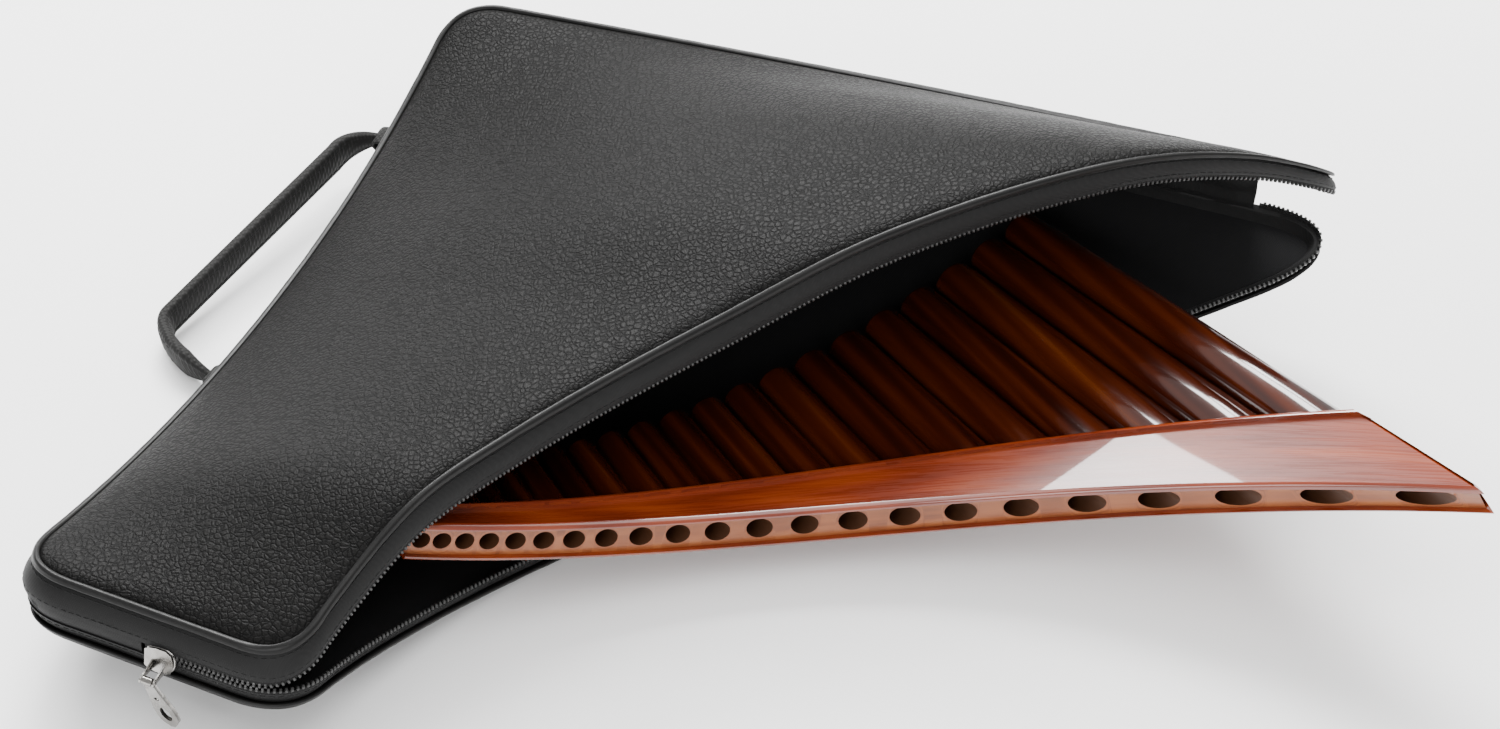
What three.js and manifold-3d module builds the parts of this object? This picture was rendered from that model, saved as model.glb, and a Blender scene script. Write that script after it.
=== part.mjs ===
// Curved 22-pipe pan flute, half drawn out of its zip case. Millimetres, +Z up.
import * as THREE from 'three';
import Module from 'manifold-3d';
import { mergeVertices } from 'three/addons/utils/BufferGeometryUtils.js';

const wasm = await Module();
wasm.setup();

// Pan flute: the pipes stand side by side on an arc and fan very slightly together towards the mouth.
const PIPE_COUNT = 22;
const FLUTE_ARC_RADIUS = 375;
const FLUTE_FAN = 0.000605;
const PITCH_SHORT_END = 7.77;
const PITCH_LONG_END = 24.5;
const PITCH_SAG = -0.87;
const FIRST_PIPE_OFFSET = -131;
const LENGTH_BASE = 31.66;
const LENGTH_GROWTH = 193.08;
const LENGTH_OCTAVE_POWER = 1.539;
const PIPE_GAP = 0.3;
const SEAT_GAP = 0.5;
const SEAT_GROWTH = 0.06;
const PIPE_WALL = 1.5;
const PIPE_DEPTH_SHORT = 10.4;
const PIPE_DEPTH_LONG = 18.0;
const PIPE_SIDES = 14;
const MOUTH_CHAMFER = 0.8;
const STOPPER_CLEARANCE = 0.3;
const STOPPER_LENGTH = 10;
const STOPPER_SIDES = 10;

// Bottom rail: a curved bar with one slanted hole for each pipe.
const RAIL_DEPTH_SHORT = 16.5;
const RAIL_DEPTH_LONG = 19.0;
const RAIL_WIDTH_SHORT = 16;
const RAIL_WIDTH_GROWTH = 21.5;
const RAIL_FIRST = -0.8;
const RAIL_LAST = 21.56;
const RAIL_SECTIONS = 32;
const RAIL_ROUND = 2.0;
const HOLE_SHORT = 6.9;
const HOLE_LONG = 12.0;
const HOLE_SIDES = 14;

// Where the flute lies: the middle of its mouth line, then yaw, pitch and roll in degrees.
const FLUTE_ORIGIN = [-28.3, 673.3, 19.5];
const FLUTE_YAW = 29.88;
const FLUTE_PITCH = -6.56;
const FLUTE_ROLL = 4.1;

// Case: a curved trapezoid with one sloping zip side.
const CASE_MIDDLE = [-200.0, 730.5, 0];
const CASE_YAW = 66.96;
const CASE_ARC_RADIUS = 542;
const CASE_WIDTH = 373.8;
const CASE_SHORT_END = 115.9;
const CASE_LONG_END = 418;
const CASE_SLOPE_POWER = 1.79;
const CORNER = { a: 24, b: 22, c: 48, d: 24 };
const CORNER_STEPS = 8;
const FOOT_HALF_WIDTH = 46;

// Beyond the foot the long end curls up more, most of all at its free corner.
const CURL_AT_HINGE = 4.5;
const CURL_TO_ZIP = 20;

// The soft side walls belly outwards between the two seams, more so on the hinge side.
const BELLY = 4.3;
const BELLY_AT_HINGE = 2.7;
const BELLY_FADE = 25;
const BASE_SEAM = 2.6;
const LID_SEAM = 25.8;

// Heights through the closed case, measured up from the underside of the base.
const GAP = 0.3;
const BASE_PANEL_TOP = 4.0;
const BASE_WALL_TOP = 8.3;
const BASE_CHAIN_TOP = 11.2;
const LID_CHAIN_TOP = 14.1;
const GUSSET_TOP = 13.3;
const LID_WALL_TOP = 23.8;
const LID_TOP = 28.3;
const PANEL_INSET = 1.4;
const WALL_INSET = 1.4;
const WALL_THICKNESS = 2.6;
const CHAIN_INSET = 1.4;
const CHAIN_THICKNESS = 2.6;
const PIPING_RADIUS = 1.5;

// How far the zip side of the lid is lifted, along the zip from the short end to the long end.
const LIFT_KNOTS = [
  [0, 0], [0.1, 21.5], [0.2, 43.5], [0.3, 54], [0.5, 74], [0.65, 91], [0.8, 88], [0.9, 65], [1, 17],
];
const LIFT_BULGE = 0.5;

// Where the zip starts on the short end, and where it stops just past the far corner.
const ZIP_START = 58;
const ZIP_STOP = 3;

// Zip slider and pull.
const SLIDER_AT = 65;
const SLIDER_LENGTH = 11;
const SLIDER_STAND_OFF = 0.9;
const SLIDER_THICKNESS = 3.6;
const SLIDER_HEIGHT = 6;
const PULL_LENGTH = 25;
const PULL_WIDTH = 8.4;
const PULL_THICKNESS = 1.5;
const PULL_STAND_OFF = 8.6;
const PULL_LEAN = 16;

// Carrying handle on the hinge side.
const HANDLE_FRONT = -32;
const HANDLE_REAR = 118;
const HANDLE_REACH = 34;
const HANDLE_REACH_REAR = 0.42;
const HANDLE_WIDTH = 15;
const HANDLE_END_WIDTH = 5;
const HANDLE_THICKNESS = 6;
const HANDLE_LEVEL = 8.5;
const HANDLE_START = 11.9;
const ANCHOR_FACE = 6.1;

const UP = new THREE.Vector3(0, 0, 1);
const lerp = (a, b, t) => a + (b - a) * t;
const clamp = (x, lo, hi) => Math.min(hi, Math.max(lo, x));
const radians = (degrees) => (degrees * Math.PI) / 180;

// ---------- closed solids from rings of points ----------

function solidFromTriangles(points, triangles) {
  const geometry = new THREE.BufferGeometry();
  const flat = [];
  for (const p of points) {
    flat.push(p.x, p.y, p.z);
  }
  geometry.setAttribute('position', new THREE.Float32BufferAttribute(flat, 3));
  geometry.setIndex(triangles);
  let volume = 0;
  for (let i = 0; i < triangles.length; i += 3) {
    const a = points[triangles[i]];
    const b = points[triangles[i + 1]];
    const c = points[triangles[i + 2]];
    volume += a.dot(new THREE.Vector3().crossVectors(b, c));
  }
  if (volume < 0) {
    for (let i = 0; i < triangles.length; i += 3) {
      [triangles[i], triangles[i + 1]] = [triangles[i + 1], triangles[i]];
    }
    geometry.setIndex(triangles);
  }
  geometry.computeVertexNormals();
  return geometry;
}

function bandTriangles(first, second, count, closed) {
  const out = [];
  const last = closed ? count : count - 1;
  for (let k = 0; k < last; k += 1) {
    const n = (k + 1) % count;
    out.push(first + k, first + n, second + n, first + k, second + n, second + k);
  }
  return out;
}

// Rings joined one after another, with a flat fan over each end.
function loft(rings) {
  const count = rings[0].length;
  const points = rings.flat();
  const triangles = [];
  for (let r = 0; r + 1 < rings.length; r += 1) {
    triangles.push(...bandTriangles(r * count, (r + 1) * count, count, true));
  }
  const top = (rings.length - 1) * count;
  const contour = rings[0].map((p, k) => new THREE.Vector2(
    Math.cos((2 * Math.PI * k) / count),
    Math.sin((2 * Math.PI * k) / count),
  ));
  for (const [a, b, c] of THREE.ShapeUtils.triangulateShape(contour, [])) {
    triangles.push(a, c, b, top + a, top + b, top + c);
  }
  return solidFromTriangles(points, triangles);
}

// Rings joined one after another and back to the first.
function loop(rings) {
  const count = rings[0].length;
  const points = rings.flat();
  const triangles = [];
  for (let r = 0; r < rings.length; r += 1) {
    const next = (r + 1) % rings.length;
    triangles.push(...bandTriangles(r * count, next * count, count, true));
  }
  return solidFromTriangles(points, triangles);
}

function toManifold(geometry) {
  const copy = geometry.clone();
  copy.deleteAttribute('normal');
  copy.deleteAttribute('uv');
  const merged = mergeVertices(copy, 1e-5);
  return new wasm.Manifold(new wasm.Mesh({
    numProp: 3,
    vertProperties: new Float32Array(merged.attributes.position.array),
    triVerts: new Uint32Array(merged.index.array),
  }));
}

function fromManifold(solid) {
  const mesh = solid.getMesh();
  const geometry = new THREE.BufferGeometry();
  geometry.setAttribute('position', new THREE.BufferAttribute(mesh.vertProperties, 3));
  geometry.setIndex(new THREE.BufferAttribute(mesh.triVerts, 1));
  geometry.computeVertexNormals();
  return geometry;
}

// ---------- flute ----------

const fluteTurn = new THREE.Matrix4().makeRotationFromEuler(
  new THREE.Euler(radians(FLUTE_PITCH), radians(FLUTE_ROLL), radians(FLUTE_YAW), 'ZXY'),
);

function pipeOffset(i) {
  const x = i / (PIPE_COUNT - 1);
  const linear = PITCH_SHORT_END * x + ((PITCH_LONG_END - PITCH_SHORT_END) * x * x) / 2;
  const sag = 4 * PITCH_SAG * ((x * x) / 2 - (x * x * x) / 3);
  return FIRST_PIPE_OFFSET + (PIPE_COUNT - 1) * (linear + sag);
}

function pipeLength(i) {
  const steps = (i - (PIPE_COUNT - 1)) / 7;
  return LENGTH_BASE + LENGTH_GROWTH * 2 ** (steps * LENGTH_OCTAVE_POWER);
}

function railWidth(i) {
  const step = 0.01;
  const slope = (pipeLength(i + step) - pipeLength(i - step)) / (pipeOffset(i + step) - pipeOffset(i - step));
  const across = RAIL_WIDTH_SHORT + RAIL_WIDTH_GROWTH * Math.max(0, i / (PIPE_COUNT - 1)) ** 2;
  return across * Math.hypot(1, slope);
}

// Position across the flute of the line of pipe i at the level v, with v = 0 at the mouth.
function fluteAcross(i, v) {
  return pipeOffset(i) * (1 - FLUTE_FAN * (v + pipeLength(i)));
}

function flutePoint(s, v, n) {
  const turn = s / FLUTE_ARC_RADIUS;
  const p = new THREE.Vector3(
    Math.sin(turn) * (FLUTE_ARC_RADIUS - n),
    v,
    FLUTE_ARC_RADIUS - Math.cos(turn) * (FLUTE_ARC_RADIUS - n),
  );
  return p.applyMatrix4(fluteTurn).add(new THREE.Vector3(...FLUTE_ORIGIN));
}

function pipeDepth(i) {
  return lerp(PIPE_DEPTH_SHORT, PIPE_DEPTH_LONG, i / (PIPE_COUNT - 1));
}

// One ring of a pipe: inset shrinks it, level(k) gives the height of each point of the ring.
function pipeRing(i, sides, inset, level) {
  const ring = [];
  for (let k = 0; k < sides; k += 1) {
    const angle = (2 * Math.PI * (k + 0.5)) / sides;
    const v = level(Math.cos(angle));
    const left = fluteAcross(i - 0.5, v) + PIPE_GAP / 2 + inset;
    const right = fluteAcross(i + 0.5, v) - PIPE_GAP / 2 - inset;
    const middle = (left + right) / 2;
    const half = (right - left) / 2;
    ring.push(flutePoint(middle + half * Math.cos(angle), v, (pipeDepth(i) / 2 - inset) * Math.sin(angle)));
  }
  return ring;
}

function railEdge(i) {
  return -pipeLength(i) + railWidth(i);
}

function makePipe(i) {
  const seat = (c) => railEdge(i + 0.5 * c) + SEAT_GAP + SEAT_GROWTH * i;
  return loop([
    pipeRing(i, PIPE_SIDES, 0, seat),
    pipeRing(i, PIPE_SIDES, 0, () => -MOUTH_CHAMFER),
    pipeRing(i, PIPE_SIDES, MOUTH_CHAMFER * 0.7, () => 0),
    pipeRing(i, PIPE_SIDES, PIPE_WALL, () => 0),
    pipeRing(i, PIPE_SIDES, PIPE_WALL, seat),
  ]);
}

function makeStopper(i) {
  const inset = PIPE_WALL + STOPPER_CLEARANCE;
  const low = railEdge(i - 0.5) + 3;
  return loft([
    pipeRing(i, STOPPER_SIDES, inset, () => low),
    pipeRing(i, STOPPER_SIDES, inset, () => low + STOPPER_LENGTH),
  ]);
}

function railSection(i, shrink) {
  const low = -pipeLength(i) + shrink;
  const high = railEdge(i) - shrink;
  const half = lerp(RAIL_DEPTH_SHORT, RAIL_DEPTH_LONG, i / (PIPE_COUNT - 1)) / 2 - shrink;
  const soft = RAIL_ROUND * 0.3;
  const corner = [[0, RAIL_ROUND], [soft, soft], [RAIL_ROUND, 0]];
  const ring = [];
  const place = (v, n) => ring.push(flutePoint(pipeOffset(i) * (1 - FLUTE_FAN * (v + pipeLength(i))), v, n));
  for (const [a, b] of corner) {
    place(low + a, -half + b);
  }
  for (const [a, b] of [...corner].reverse()) {
    place(high - a, -half + b);
  }
  for (const [a, b] of corner) {
    place(high - a, half - b);
  }
  for (const [a, b] of [...corner].reverse()) {
    place(low + a, half - b);
  }
  return ring;
}

function rodBetween(from, to, radius, sides) {
  const axis = to.clone().sub(from).normalize();
  const side = new THREE.Vector3().crossVectors(axis, UP).normalize();
  const other = new THREE.Vector3().crossVectors(axis, side);
  return loft([from, to].map((centre) => {
    const ring = [];
    for (let k = 0; k < sides; k += 1) {
      const angle = (2 * Math.PI * k) / sides;
      ring.push(centre.clone()
        .addScaledVector(side, radius * Math.cos(angle))
        .addScaledVector(other, radius * Math.sin(angle)));
    }
    return ring;
  }));
}

function makeRail() {
  const rings = [railSection(RAIL_FIRST, 1.2)];
  for (let k = 0; k <= RAIL_SECTIONS; k += 1) {
    rings.push(railSection(lerp(RAIL_FIRST + 0.12, RAIL_LAST - 0.05, k / RAIL_SECTIONS), 0));
  }
  rings.push(railSection(RAIL_LAST, 1.2));
  let rail = toManifold(loft(rings));
  for (let i = 0; i < PIPE_COUNT; i += 1) {
    const low = -pipeLength(i) - 9;
    const high = railEdge(i) + 9;
    const radius = lerp(HOLE_SHORT, HOLE_LONG, i / (PIPE_COUNT - 1)) / 2;
    const from = flutePoint(fluteAcross(i, low), low, 0);
    const to = flutePoint(fluteAcross(i, high), high, 0);
    rail = rail.subtract(toManifold(rodBetween(from, to, radius, HOLE_SIDES)));
  }
  return fromManifold(rail);
}

// ---------- case ----------

const caseAlong = new THREE.Vector3(Math.cos(radians(CASE_YAW)), Math.sin(radians(CASE_YAW)), 0);
const caseAcross = new THREE.Vector3(-Math.sin(radians(CASE_YAW)), Math.cos(radians(CASE_YAW)), 0);
const caseMiddle = new THREE.Vector3(...CASE_MIDDLE);

function zipSide(t) {
  return -CASE_SHORT_END - (CASE_LONG_END - CASE_SHORT_END) * clamp(t, 0, 1) ** CASE_SLOPE_POWER;
}

// Share of the way from the hinge side to the zip side.
function zipShare(s, v) {
  return clamp(v / zipSide((s + CASE_WIDTH / 2) / CASE_WIDTH), 0, 1);
}

function curl(s, v) {
  const beyond = Math.max(0, (s - FOOT_HALF_WIDTH) / (CASE_WIDTH / 2 - FOOT_HALF_WIDTH));
  return beyond * beyond * (CURL_AT_HINGE + CURL_TO_ZIP * zipShare(s, v));
}

function casePoint(s, v, n, lift) {
  const turn = s / CASE_ARC_RADIUS;
  const level = CASE_ARC_RADIUS - Math.cos(turn) * (CASE_ARC_RADIUS - n);
  return caseMiddle.clone()
    .addScaledVector(caseAlong, Math.sin(turn) * (CASE_ARC_RADIUS - n))
    .addScaledVector(caseAcross, v)
    .addScaledVector(UP, level + curl(s, v) + lift);
}

// Smooth curve through the lift knots.
function edgeLift(t) {
  const k = LIFT_KNOTS;
  const x = clamp(t, 0, 1);
  let j = 0;
  while (j < k.length - 2 && x > k[j + 1][0]) {
    j += 1;
  }
  const slopeAt = (m) => {
    const a = k[Math.max(0, m - 1)];
    const b = k[Math.min(k.length - 1, m + 1)];
    return (b[1] - a[1]) / (b[0] - a[0]);
  };
  const width = k[j + 1][0] - k[j][0];
  const q = (x - k[j][0]) / width;
  const h00 = (1 + 2 * q) * (1 - q) * (1 - q);
  const h10 = q * (1 - q) * (1 - q);
  const h01 = q * q * (3 - 2 * q);
  const h11 = q * q * (q - 1);
  return h00 * k[j][1] + h10 * width * slopeAt(j) + h01 * k[j + 1][1] + h11 * width * slopeAt(j + 1);
}

function lidLift(s, v) {
  const x = zipShare(s, v);
  return Math.max(0, edgeLift((s + CASE_WIDTH / 2) / CASE_WIDTH)) * x * (1 + LIFT_BULGE * (1 - x));
}

// Outline of the case as [s, v] points in order A, B, C, D, with the corners rounded.
function makeOutline() {
  const half = CASE_WIDTH / 2;
  const side = (from, to, steps) => {
    const out = [];
    for (let k = 0; k <= steps; k += 1) {
      out.push([lerp(from[0], to[0], k / steps), lerp(from[1], to[1], k / steps)]);
    }
    return out;
  };
  const zip = (from, to, steps) => {
    const out = [];
    for (let k = 0; k <= steps; k += 1) {
      const t = lerp(from, to, k / steps);
      out.push([-half + CASE_WIDTH * t, zipSide(t)]);
    }
    return out;
  };
  const tb = CORNER.b / CASE_WIDTH;
  const tc = 1 - CORNER.c / CASE_WIDTH / 1.6;
  const sides = [
    { id: 'ab', pts: side([-half, -CORNER.a], [-half, -CASE_SHORT_END + CORNER.b], 3) },
    { id: 'bc', pts: zip(tb, tc, 20) },
    { id: 'cd', pts: side([half, -CASE_LONG_END + CORNER.c], [half, -CORNER.d], 18) },
    { id: 'da', pts: side([half - CORNER.d, 0], [-half + CORNER.a, 0], 14) },
  ];
  const corners = [[-half, -CASE_SHORT_END], [half, -CASE_LONG_END], [half, 0], [-half, 0]];
  const out = [];
  sides.forEach((one, k) => {
    out.push(...one.pts.map((p) => ({ s: p[0], v: p[1], side: one.id })));
    const a = one.pts.at(-1);
    const c = sides[(k + 1) % 4].pts[0];
    const b = corners[k];
    for (let j = 1; j < CORNER_STEPS; j += 1) {
      const q = j / CORNER_STEPS;
      const wa = (1 - q) * (1 - q);
      const wb = 2 * q * (1 - q);
      const wc = q * q;
      out.push({
        s: wa * a[0] + wb * b[0] + wc * c[0],
        v: wa * a[1] + wb * b[1] + wc * c[1],
        side: `corner_${'bcda'[k]}`,
      });
    }
  });
  return out;
}

const outline = makeOutline();
outline.forEach((p, k) => {
  const a = outline[(k + outline.length - 1) % outline.length];
  const b = outline[(k + 1) % outline.length];
  const ds = b.s - a.s;
  const dv = b.v - a.v;
  const length = Math.hypot(ds, dv);
  p.inS = -dv / length;
  p.inV = ds / length;
});

// How far a side wall stands out at the height n.
function belly(v, n) {
  const share = clamp((n - BASE_SEAM) / (LID_SEAM - BASE_SEAM), 0, 1);
  return (BELLY + BELLY_AT_HINGE * Math.exp(v / BELLY_FADE)) * Math.sin(Math.PI * share) ** 0.8;
}

// A point on the outline moved inwards by inset, at height n, with the lid's lift added when wanted.
function edgePoint(p, inset, n, lifted) {
  const depth = inset - belly(p.v, n);
  const s = p.s + p.inS * depth;
  const v = p.v + p.inV * depth;
  return casePoint(s, v, n, lifted ? lidLift(s, v) : 0);
}

function rectangleRings(points, inset, thickness, low, high, liftLow, liftHigh) {
  return points.map((p) => [
    edgePoint(p, inset, low, liftLow),
    edgePoint(p, inset + thickness, low, liftLow),
    edgePoint(p, inset + thickness, high, liftHigh),
    edgePoint(p, inset, high, liftHigh),
  ]);
}

// The cord is pressed flat where it would stand lower than the foot.
function roundRings(points, inset, level, radius, sides, lifted) {
  const footLevel = casePoint(FOOT_HALF_WIDTH, 0, 0, 0).z;
  return points.map((p) => {
    const ring = [];
    for (let k = 0; k < sides; k += 1) {
      const angle = (2 * Math.PI * k) / sides;
      const point = edgePoint(p, inset - radius * Math.cos(angle), level + radius * Math.sin(angle), lifted);
      point.z = Math.max(point.z, footLevel);
      ring.push(point);
    }
    return ring;
  });
}

function makePanel(low, high, lifted, footed) {
  const centre = [40, -100];
  const fractions = [1, 0.96, 0.9, 0.79, 0.64, 0.46, 0.24];
  const count = outline.length;
  const points = [];
  const surface = (n, flat) => {
    const start = points.length;
    const put = (s, v) => {
      const p = casePoint(s, v, n, lifted ? lidLift(s, v) : 0);
      if (flat) {
        p.z = Math.max(p.z, casePoint(FOOT_HALF_WIDTH, 0, n, 0).z);
      }
      points.push(p);
    };
    for (const f of fractions) {
      for (const p of outline) {
        const s = p.s + p.inS * PANEL_INSET;
        const v = p.v + p.inV * PANEL_INSET;
        put(centre[0] + f * (s - centre[0]), centre[1] + f * (v - centre[1]));
      }
    }
    put(...centre);
    return start;
  };
  const bottom = surface(low, footed);
  const top = surface(high, false);
  const triangles = [];
  const rings = fractions.length;
  for (const [start, flip] of [[bottom, false], [top, true]]) {
    const own = [];
    for (let r = 0; r + 1 < rings; r += 1) {
      own.push(...bandTriangles(start + r * count, start + (r + 1) * count, count, true));
    }
    const hub = start + rings * count;
    for (let k = 0; k < count; k += 1) {
      own.push(start + (rings - 1) * count + k, start + (rings - 1) * count + ((k + 1) % count), hub);
    }
    for (let k = 0; k < own.length; k += 3) {
      triangles.push(own[k], own[flip ? k + 2 : k + 1], own[flip ? k + 1 : k + 2]);
    }
  }
  triangles.push(...bandTriangles(bottom, top, count, true).map((x, k, all) => all[k - (k % 3) + [0, 2, 1][k % 3]]));
  return solidFromTriangles(points, triangles);
}

// Splits the outline into the part the zip runs along and the part the hinge gusset runs along.
function outlineRun(wanted) {
  const zipStartIndex = outline.findIndex((p) => p.side === 'ab' && p.v < -ZIP_START);
  const stopIndex = outline.findIndex((p) => p.side === 'cd' && p.v > -CASE_LONG_END + CORNER.c + ZIP_STOP);
  const start = { ...outline[zipStartIndex], v: -ZIP_START };
  const stop = { ...outline[stopIndex], v: -CASE_LONG_END + CORNER.c + ZIP_STOP - 1 };
  if (wanted === 'zip') {
    return [start, ...outline.slice(zipStartIndex, stopIndex), stop];
  }
  const shifted = (p, dv) => ({ ...p, v: p.v + dv });
  return [
    shifted(stop, 0.6),
    ...outline.slice(stopIndex),
    ...outline.slice(0, zipStartIndex),
    shifted(start, 0.6),
  ];
}

// ---------- slider, pull and handle ----------

function boxFromFrame(origin, x, y, z, size, offset) {
  const rings = [-0.5, 0.5].map((k) => [[-1, -1], [1, -1], [1, 1], [-1, 1]].map(([a, b]) => origin.clone()
    .addScaledVector(x, offset[0] + (a * size[0]) / 2)
    .addScaledVector(y, offset[1] + (b * size[1]) / 2)
    .addScaledVector(z, offset[2] + k * size[2])));
  return loft(rings);
}

const sliderMiddle = BASE_CHAIN_TOP + 0.2 - SLIDER_HEIGHT / 2;
const endTurn = -CASE_WIDTH / 2 / CASE_ARC_RADIUS;
const endOut = caseAlong.clone().multiplyScalar(-Math.cos(endTurn)).addScaledVector(UP, -Math.sin(endTurn));
const endUp = caseAlong.clone().multiplyScalar(-Math.sin(endTurn)).addScaledVector(UP, Math.cos(endTurn));
const sliderCentre = casePoint(-CASE_WIDTH / 2, -SLIDER_AT, sliderMiddle, 0)
  .addScaledVector(endOut, belly(-SLIDER_AT, sliderMiddle));

function makeSlider() {
  const outFace = -CHAIN_INSET + SLIDER_STAND_OFF;
  const plate = toManifold(boxFromFrame(
    sliderCentre,
    endOut,
    caseAcross,
    endUp,
    [SLIDER_THICKNESS, SLIDER_LENGTH, SLIDER_HEIGHT],
    [outFace + SLIDER_THICKNESS / 2, 0, 0],
  ));
  const bridgeOut = outFace + SLIDER_THICKNESS + 2.6;
  const bridge = toManifold(boxFromFrame(
    sliderCentre,
    endOut,
    caseAcross,
    endUp,
    [5.6, 7.4, 3.4],
    [bridgeOut - 2.8, 0, 0],
  ));
  const eye = toManifold(boxFromFrame(
    sliderCentre,
    endOut,
    caseAcross,
    endUp,
    [1.9, 4.6, 6],
    [bridgeOut - 2.0, 0, 0],
  ));
  return fromManifold(plate.add(bridge).subtract(eye));
}

const outward = caseAlong.clone().multiplyScalar(-1);
const pullPivot = sliderCentre.clone().addScaledVector(outward, PULL_STAND_OFF);

function makePull() {
  const lean = radians(PULL_LEAN);
  const y = caseAcross.clone().multiplyScalar(Math.cos(lean)).addScaledVector(UP, -Math.sin(lean));
  const z = UP.clone().multiplyScalar(Math.cos(lean)).addScaledVector(caseAcross, Math.sin(lean));
  const place = (a, b, c) => pullPivot.clone().addScaledVector(y, a).addScaledVector(z, b).addScaledVector(outward, c);
  const profile = [
    [1.6, 2.0], [2.5, 0.6], [2.7, -3.0], [PULL_WIDTH / 2 - 0.6, -9], [PULL_WIDTH / 2, -15],
    [PULL_WIDTH / 2 - 0.2, -PULL_LENGTH + 5], [2.6, -PULL_LENGTH + 1.4], [0.9, -PULL_LENGTH + 0.6],
  ];
  const full = [...profile, ...[...profile].reverse().map(([a, b]) => [-a, b])];
  const rings = [-0.5, 0.5].map((k) => full.map(([a, b]) => place(a, b, k * PULL_THICKNESS)));
  const plate = toManifold(loft(rings));
  const hole = (level, wide, tall) => {
    const ring = [];
    for (let k = 0; k < 12; k += 1) {
      const angle = (2 * Math.PI * k) / 12;
      ring.push([wide * Math.cos(angle), level + tall * Math.sin(angle)]);
    }
    return toManifold(loft([-2, 2].map((k) => ring.map(([a, b]) => place(a, b, k)))));
  };
  return fromManifold(plate.subtract(hole(-PULL_LENGTH + 7.6, 2.1, 3.4)).subtract(hole(-11, 1.2, 1.2)));
}

function handleAnchor(s) {
  const t = s / CASE_ARC_RADIUS;
  const along = caseAlong.clone().multiplyScalar(Math.cos(t)).addScaledVector(UP, Math.sin(t));
  const up = caseAlong.clone().multiplyScalar(-Math.sin(t)).addScaledVector(UP, Math.cos(t));
  const centre = casePoint(s, 0, HANDLE_LEVEL, 0);
  return { along, up, centre };
}

// How far the strap stands out at the share q of its length: most near the front, less towards the rear.
function handleReach(q) {
  const rise = Math.min(1, q / 0.14);
  const fall = Math.min(1, (1 - q) / 0.12);
  const slope = lerp(1, HANDLE_REACH_REAR, clamp((q - 0.14) / 0.74, 0, 1));
  return slope * (1 - (1 - rise) ** 2) ** 0.7 * (1 - (1 - fall) ** 2) ** 0.7;
}

function makeHandle() {
  const front = handleAnchor(HANDLE_FRONT).centre.addScaledVector(caseAcross, HANDLE_START);
  const rear = handleAnchor(HANDLE_REAR).centre.addScaledVector(caseAcross, HANDLE_START);
  const steps = 30;
  const span = rear.clone().sub(front);
  const direction = span.clone().normalize();
  const lift = new THREE.Vector3().crossVectors(direction, caseAcross).normalize();
  const path = [];
  for (let k = 0; k <= steps; k += 1) {
    const q = 0.5 - 0.5 * Math.cos((Math.PI * k) / steps);
    path.push(front.clone().addScaledVector(span, q).addScaledVector(caseAcross, HANDLE_REACH * handleReach(q)));
  }
  const rings = path.map((p, k) => {
    const a = path[Math.max(0, k - 1)];
    const b = path[Math.min(steps, k + 1)];
    const tangent = b.clone().sub(a).normalize();
    const side = new THREE.Vector3().crossVectors(tangent, lift).normalize();
    const out = p.clone().sub(front).dot(caseAcross);
    const width = lerp(HANDLE_END_WIDTH, HANDLE_WIDTH, clamp(out / 14, 0, 1));
    const thickness = lerp(3, HANDLE_THICKNESS, clamp(out / 14, 0, 1));
    const corners = [
      [-0.5, -0.28], [-0.3, -0.5], [0.3, -0.5], [0.5, -0.28], [0.5, 0.28], [0.3, 0.5], [-0.3, 0.5], [-0.5, 0.28],
    ];
    return corners.map(([x, y]) => p.clone()
      .addScaledVector(side, x * thickness)
      .addScaledVector(lift, y * width));
  });
  return loft(rings);
}

function makeAnchor(s) {
  const { along, up, centre } = handleAnchor(s);
  return boxFromFrame(centre, along, caseAcross, up, [16, 3.2, 9.5], [0, ANCHOR_FACE + 1.6, 0]);
}

// ---------- assembly ----------

const colours = {
  pipe: { color: 0x4a1a08, roughness: 0.12, metalness: 0 },
  rail: { color: 0x8c3314, roughness: 0.22, metalness: 0 },
  stopper: { color: 0x8a5a30, roughness: 0.8, metalness: 0 },
  leather: { color: 0x1d1b1a, roughness: 0.55, metalness: 0 },
  piping: { color: 0x141414, roughness: 0.25, metalness: 0 },
  gusset: { color: 0x161616, roughness: 0.8, metalness: 0 },
  coil: { color: 0x1a1a1a, roughness: 0.5, metalness: 0 },
  metal: { color: 0xb8b8b8, roughness: 0.25, metalness: 1 },
  webbing: { color: 0x151414, roughness: 0.85, metalness: 0 },
};

const group = new THREE.Group();

function addPart(name, geometry, colour) {
  const mesh = new THREE.Mesh(geometry, new THREE.MeshStandardMaterial(colours[colour]));
  mesh.name = name;
  group.add(mesh);
}

for (let i = 0; i < PIPE_COUNT; i += 1) {
  const number = String(i + 1).padStart(2, '0');
  addPart(`pipe_${number}`, makePipe(i), 'pipe');
  addPart(`stopper_${number}`, makeStopper(i), 'stopper');
}
addPart('bottom_rail', makeRail(), 'rail');

addPart('base_panel', makePanel(0, BASE_PANEL_TOP, false, true), 'leather');
addPart('base_wall', loop(rectangleRings(
  outline,
  WALL_INSET,
  WALL_THICKNESS,
  BASE_PANEL_TOP + GAP,
  BASE_WALL_TOP,
  false,
  false,
)), 'gusset');
addPart('base_piping', loop(roundRings(outline, -PIPING_RADIUS + 0.8, BASE_SEAM, PIPING_RADIUS, 6, false)), 'piping');
addPart('lid_panel', makePanel(LID_WALL_TOP + 0.8, LID_TOP, true, false), 'leather');
addPart('lid_wall', loop(rectangleRings(
  outline,
  WALL_INSET,
  WALL_THICKNESS,
  LID_CHAIN_TOP + 1.0,
  LID_WALL_TOP,
  true,
  true,
)), 'gusset');
addPart('lid_piping', loop(roundRings(outline, -PIPING_RADIUS + 0.8, LID_SEAM, PIPING_RADIUS, 6, true)), 'piping');

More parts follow.
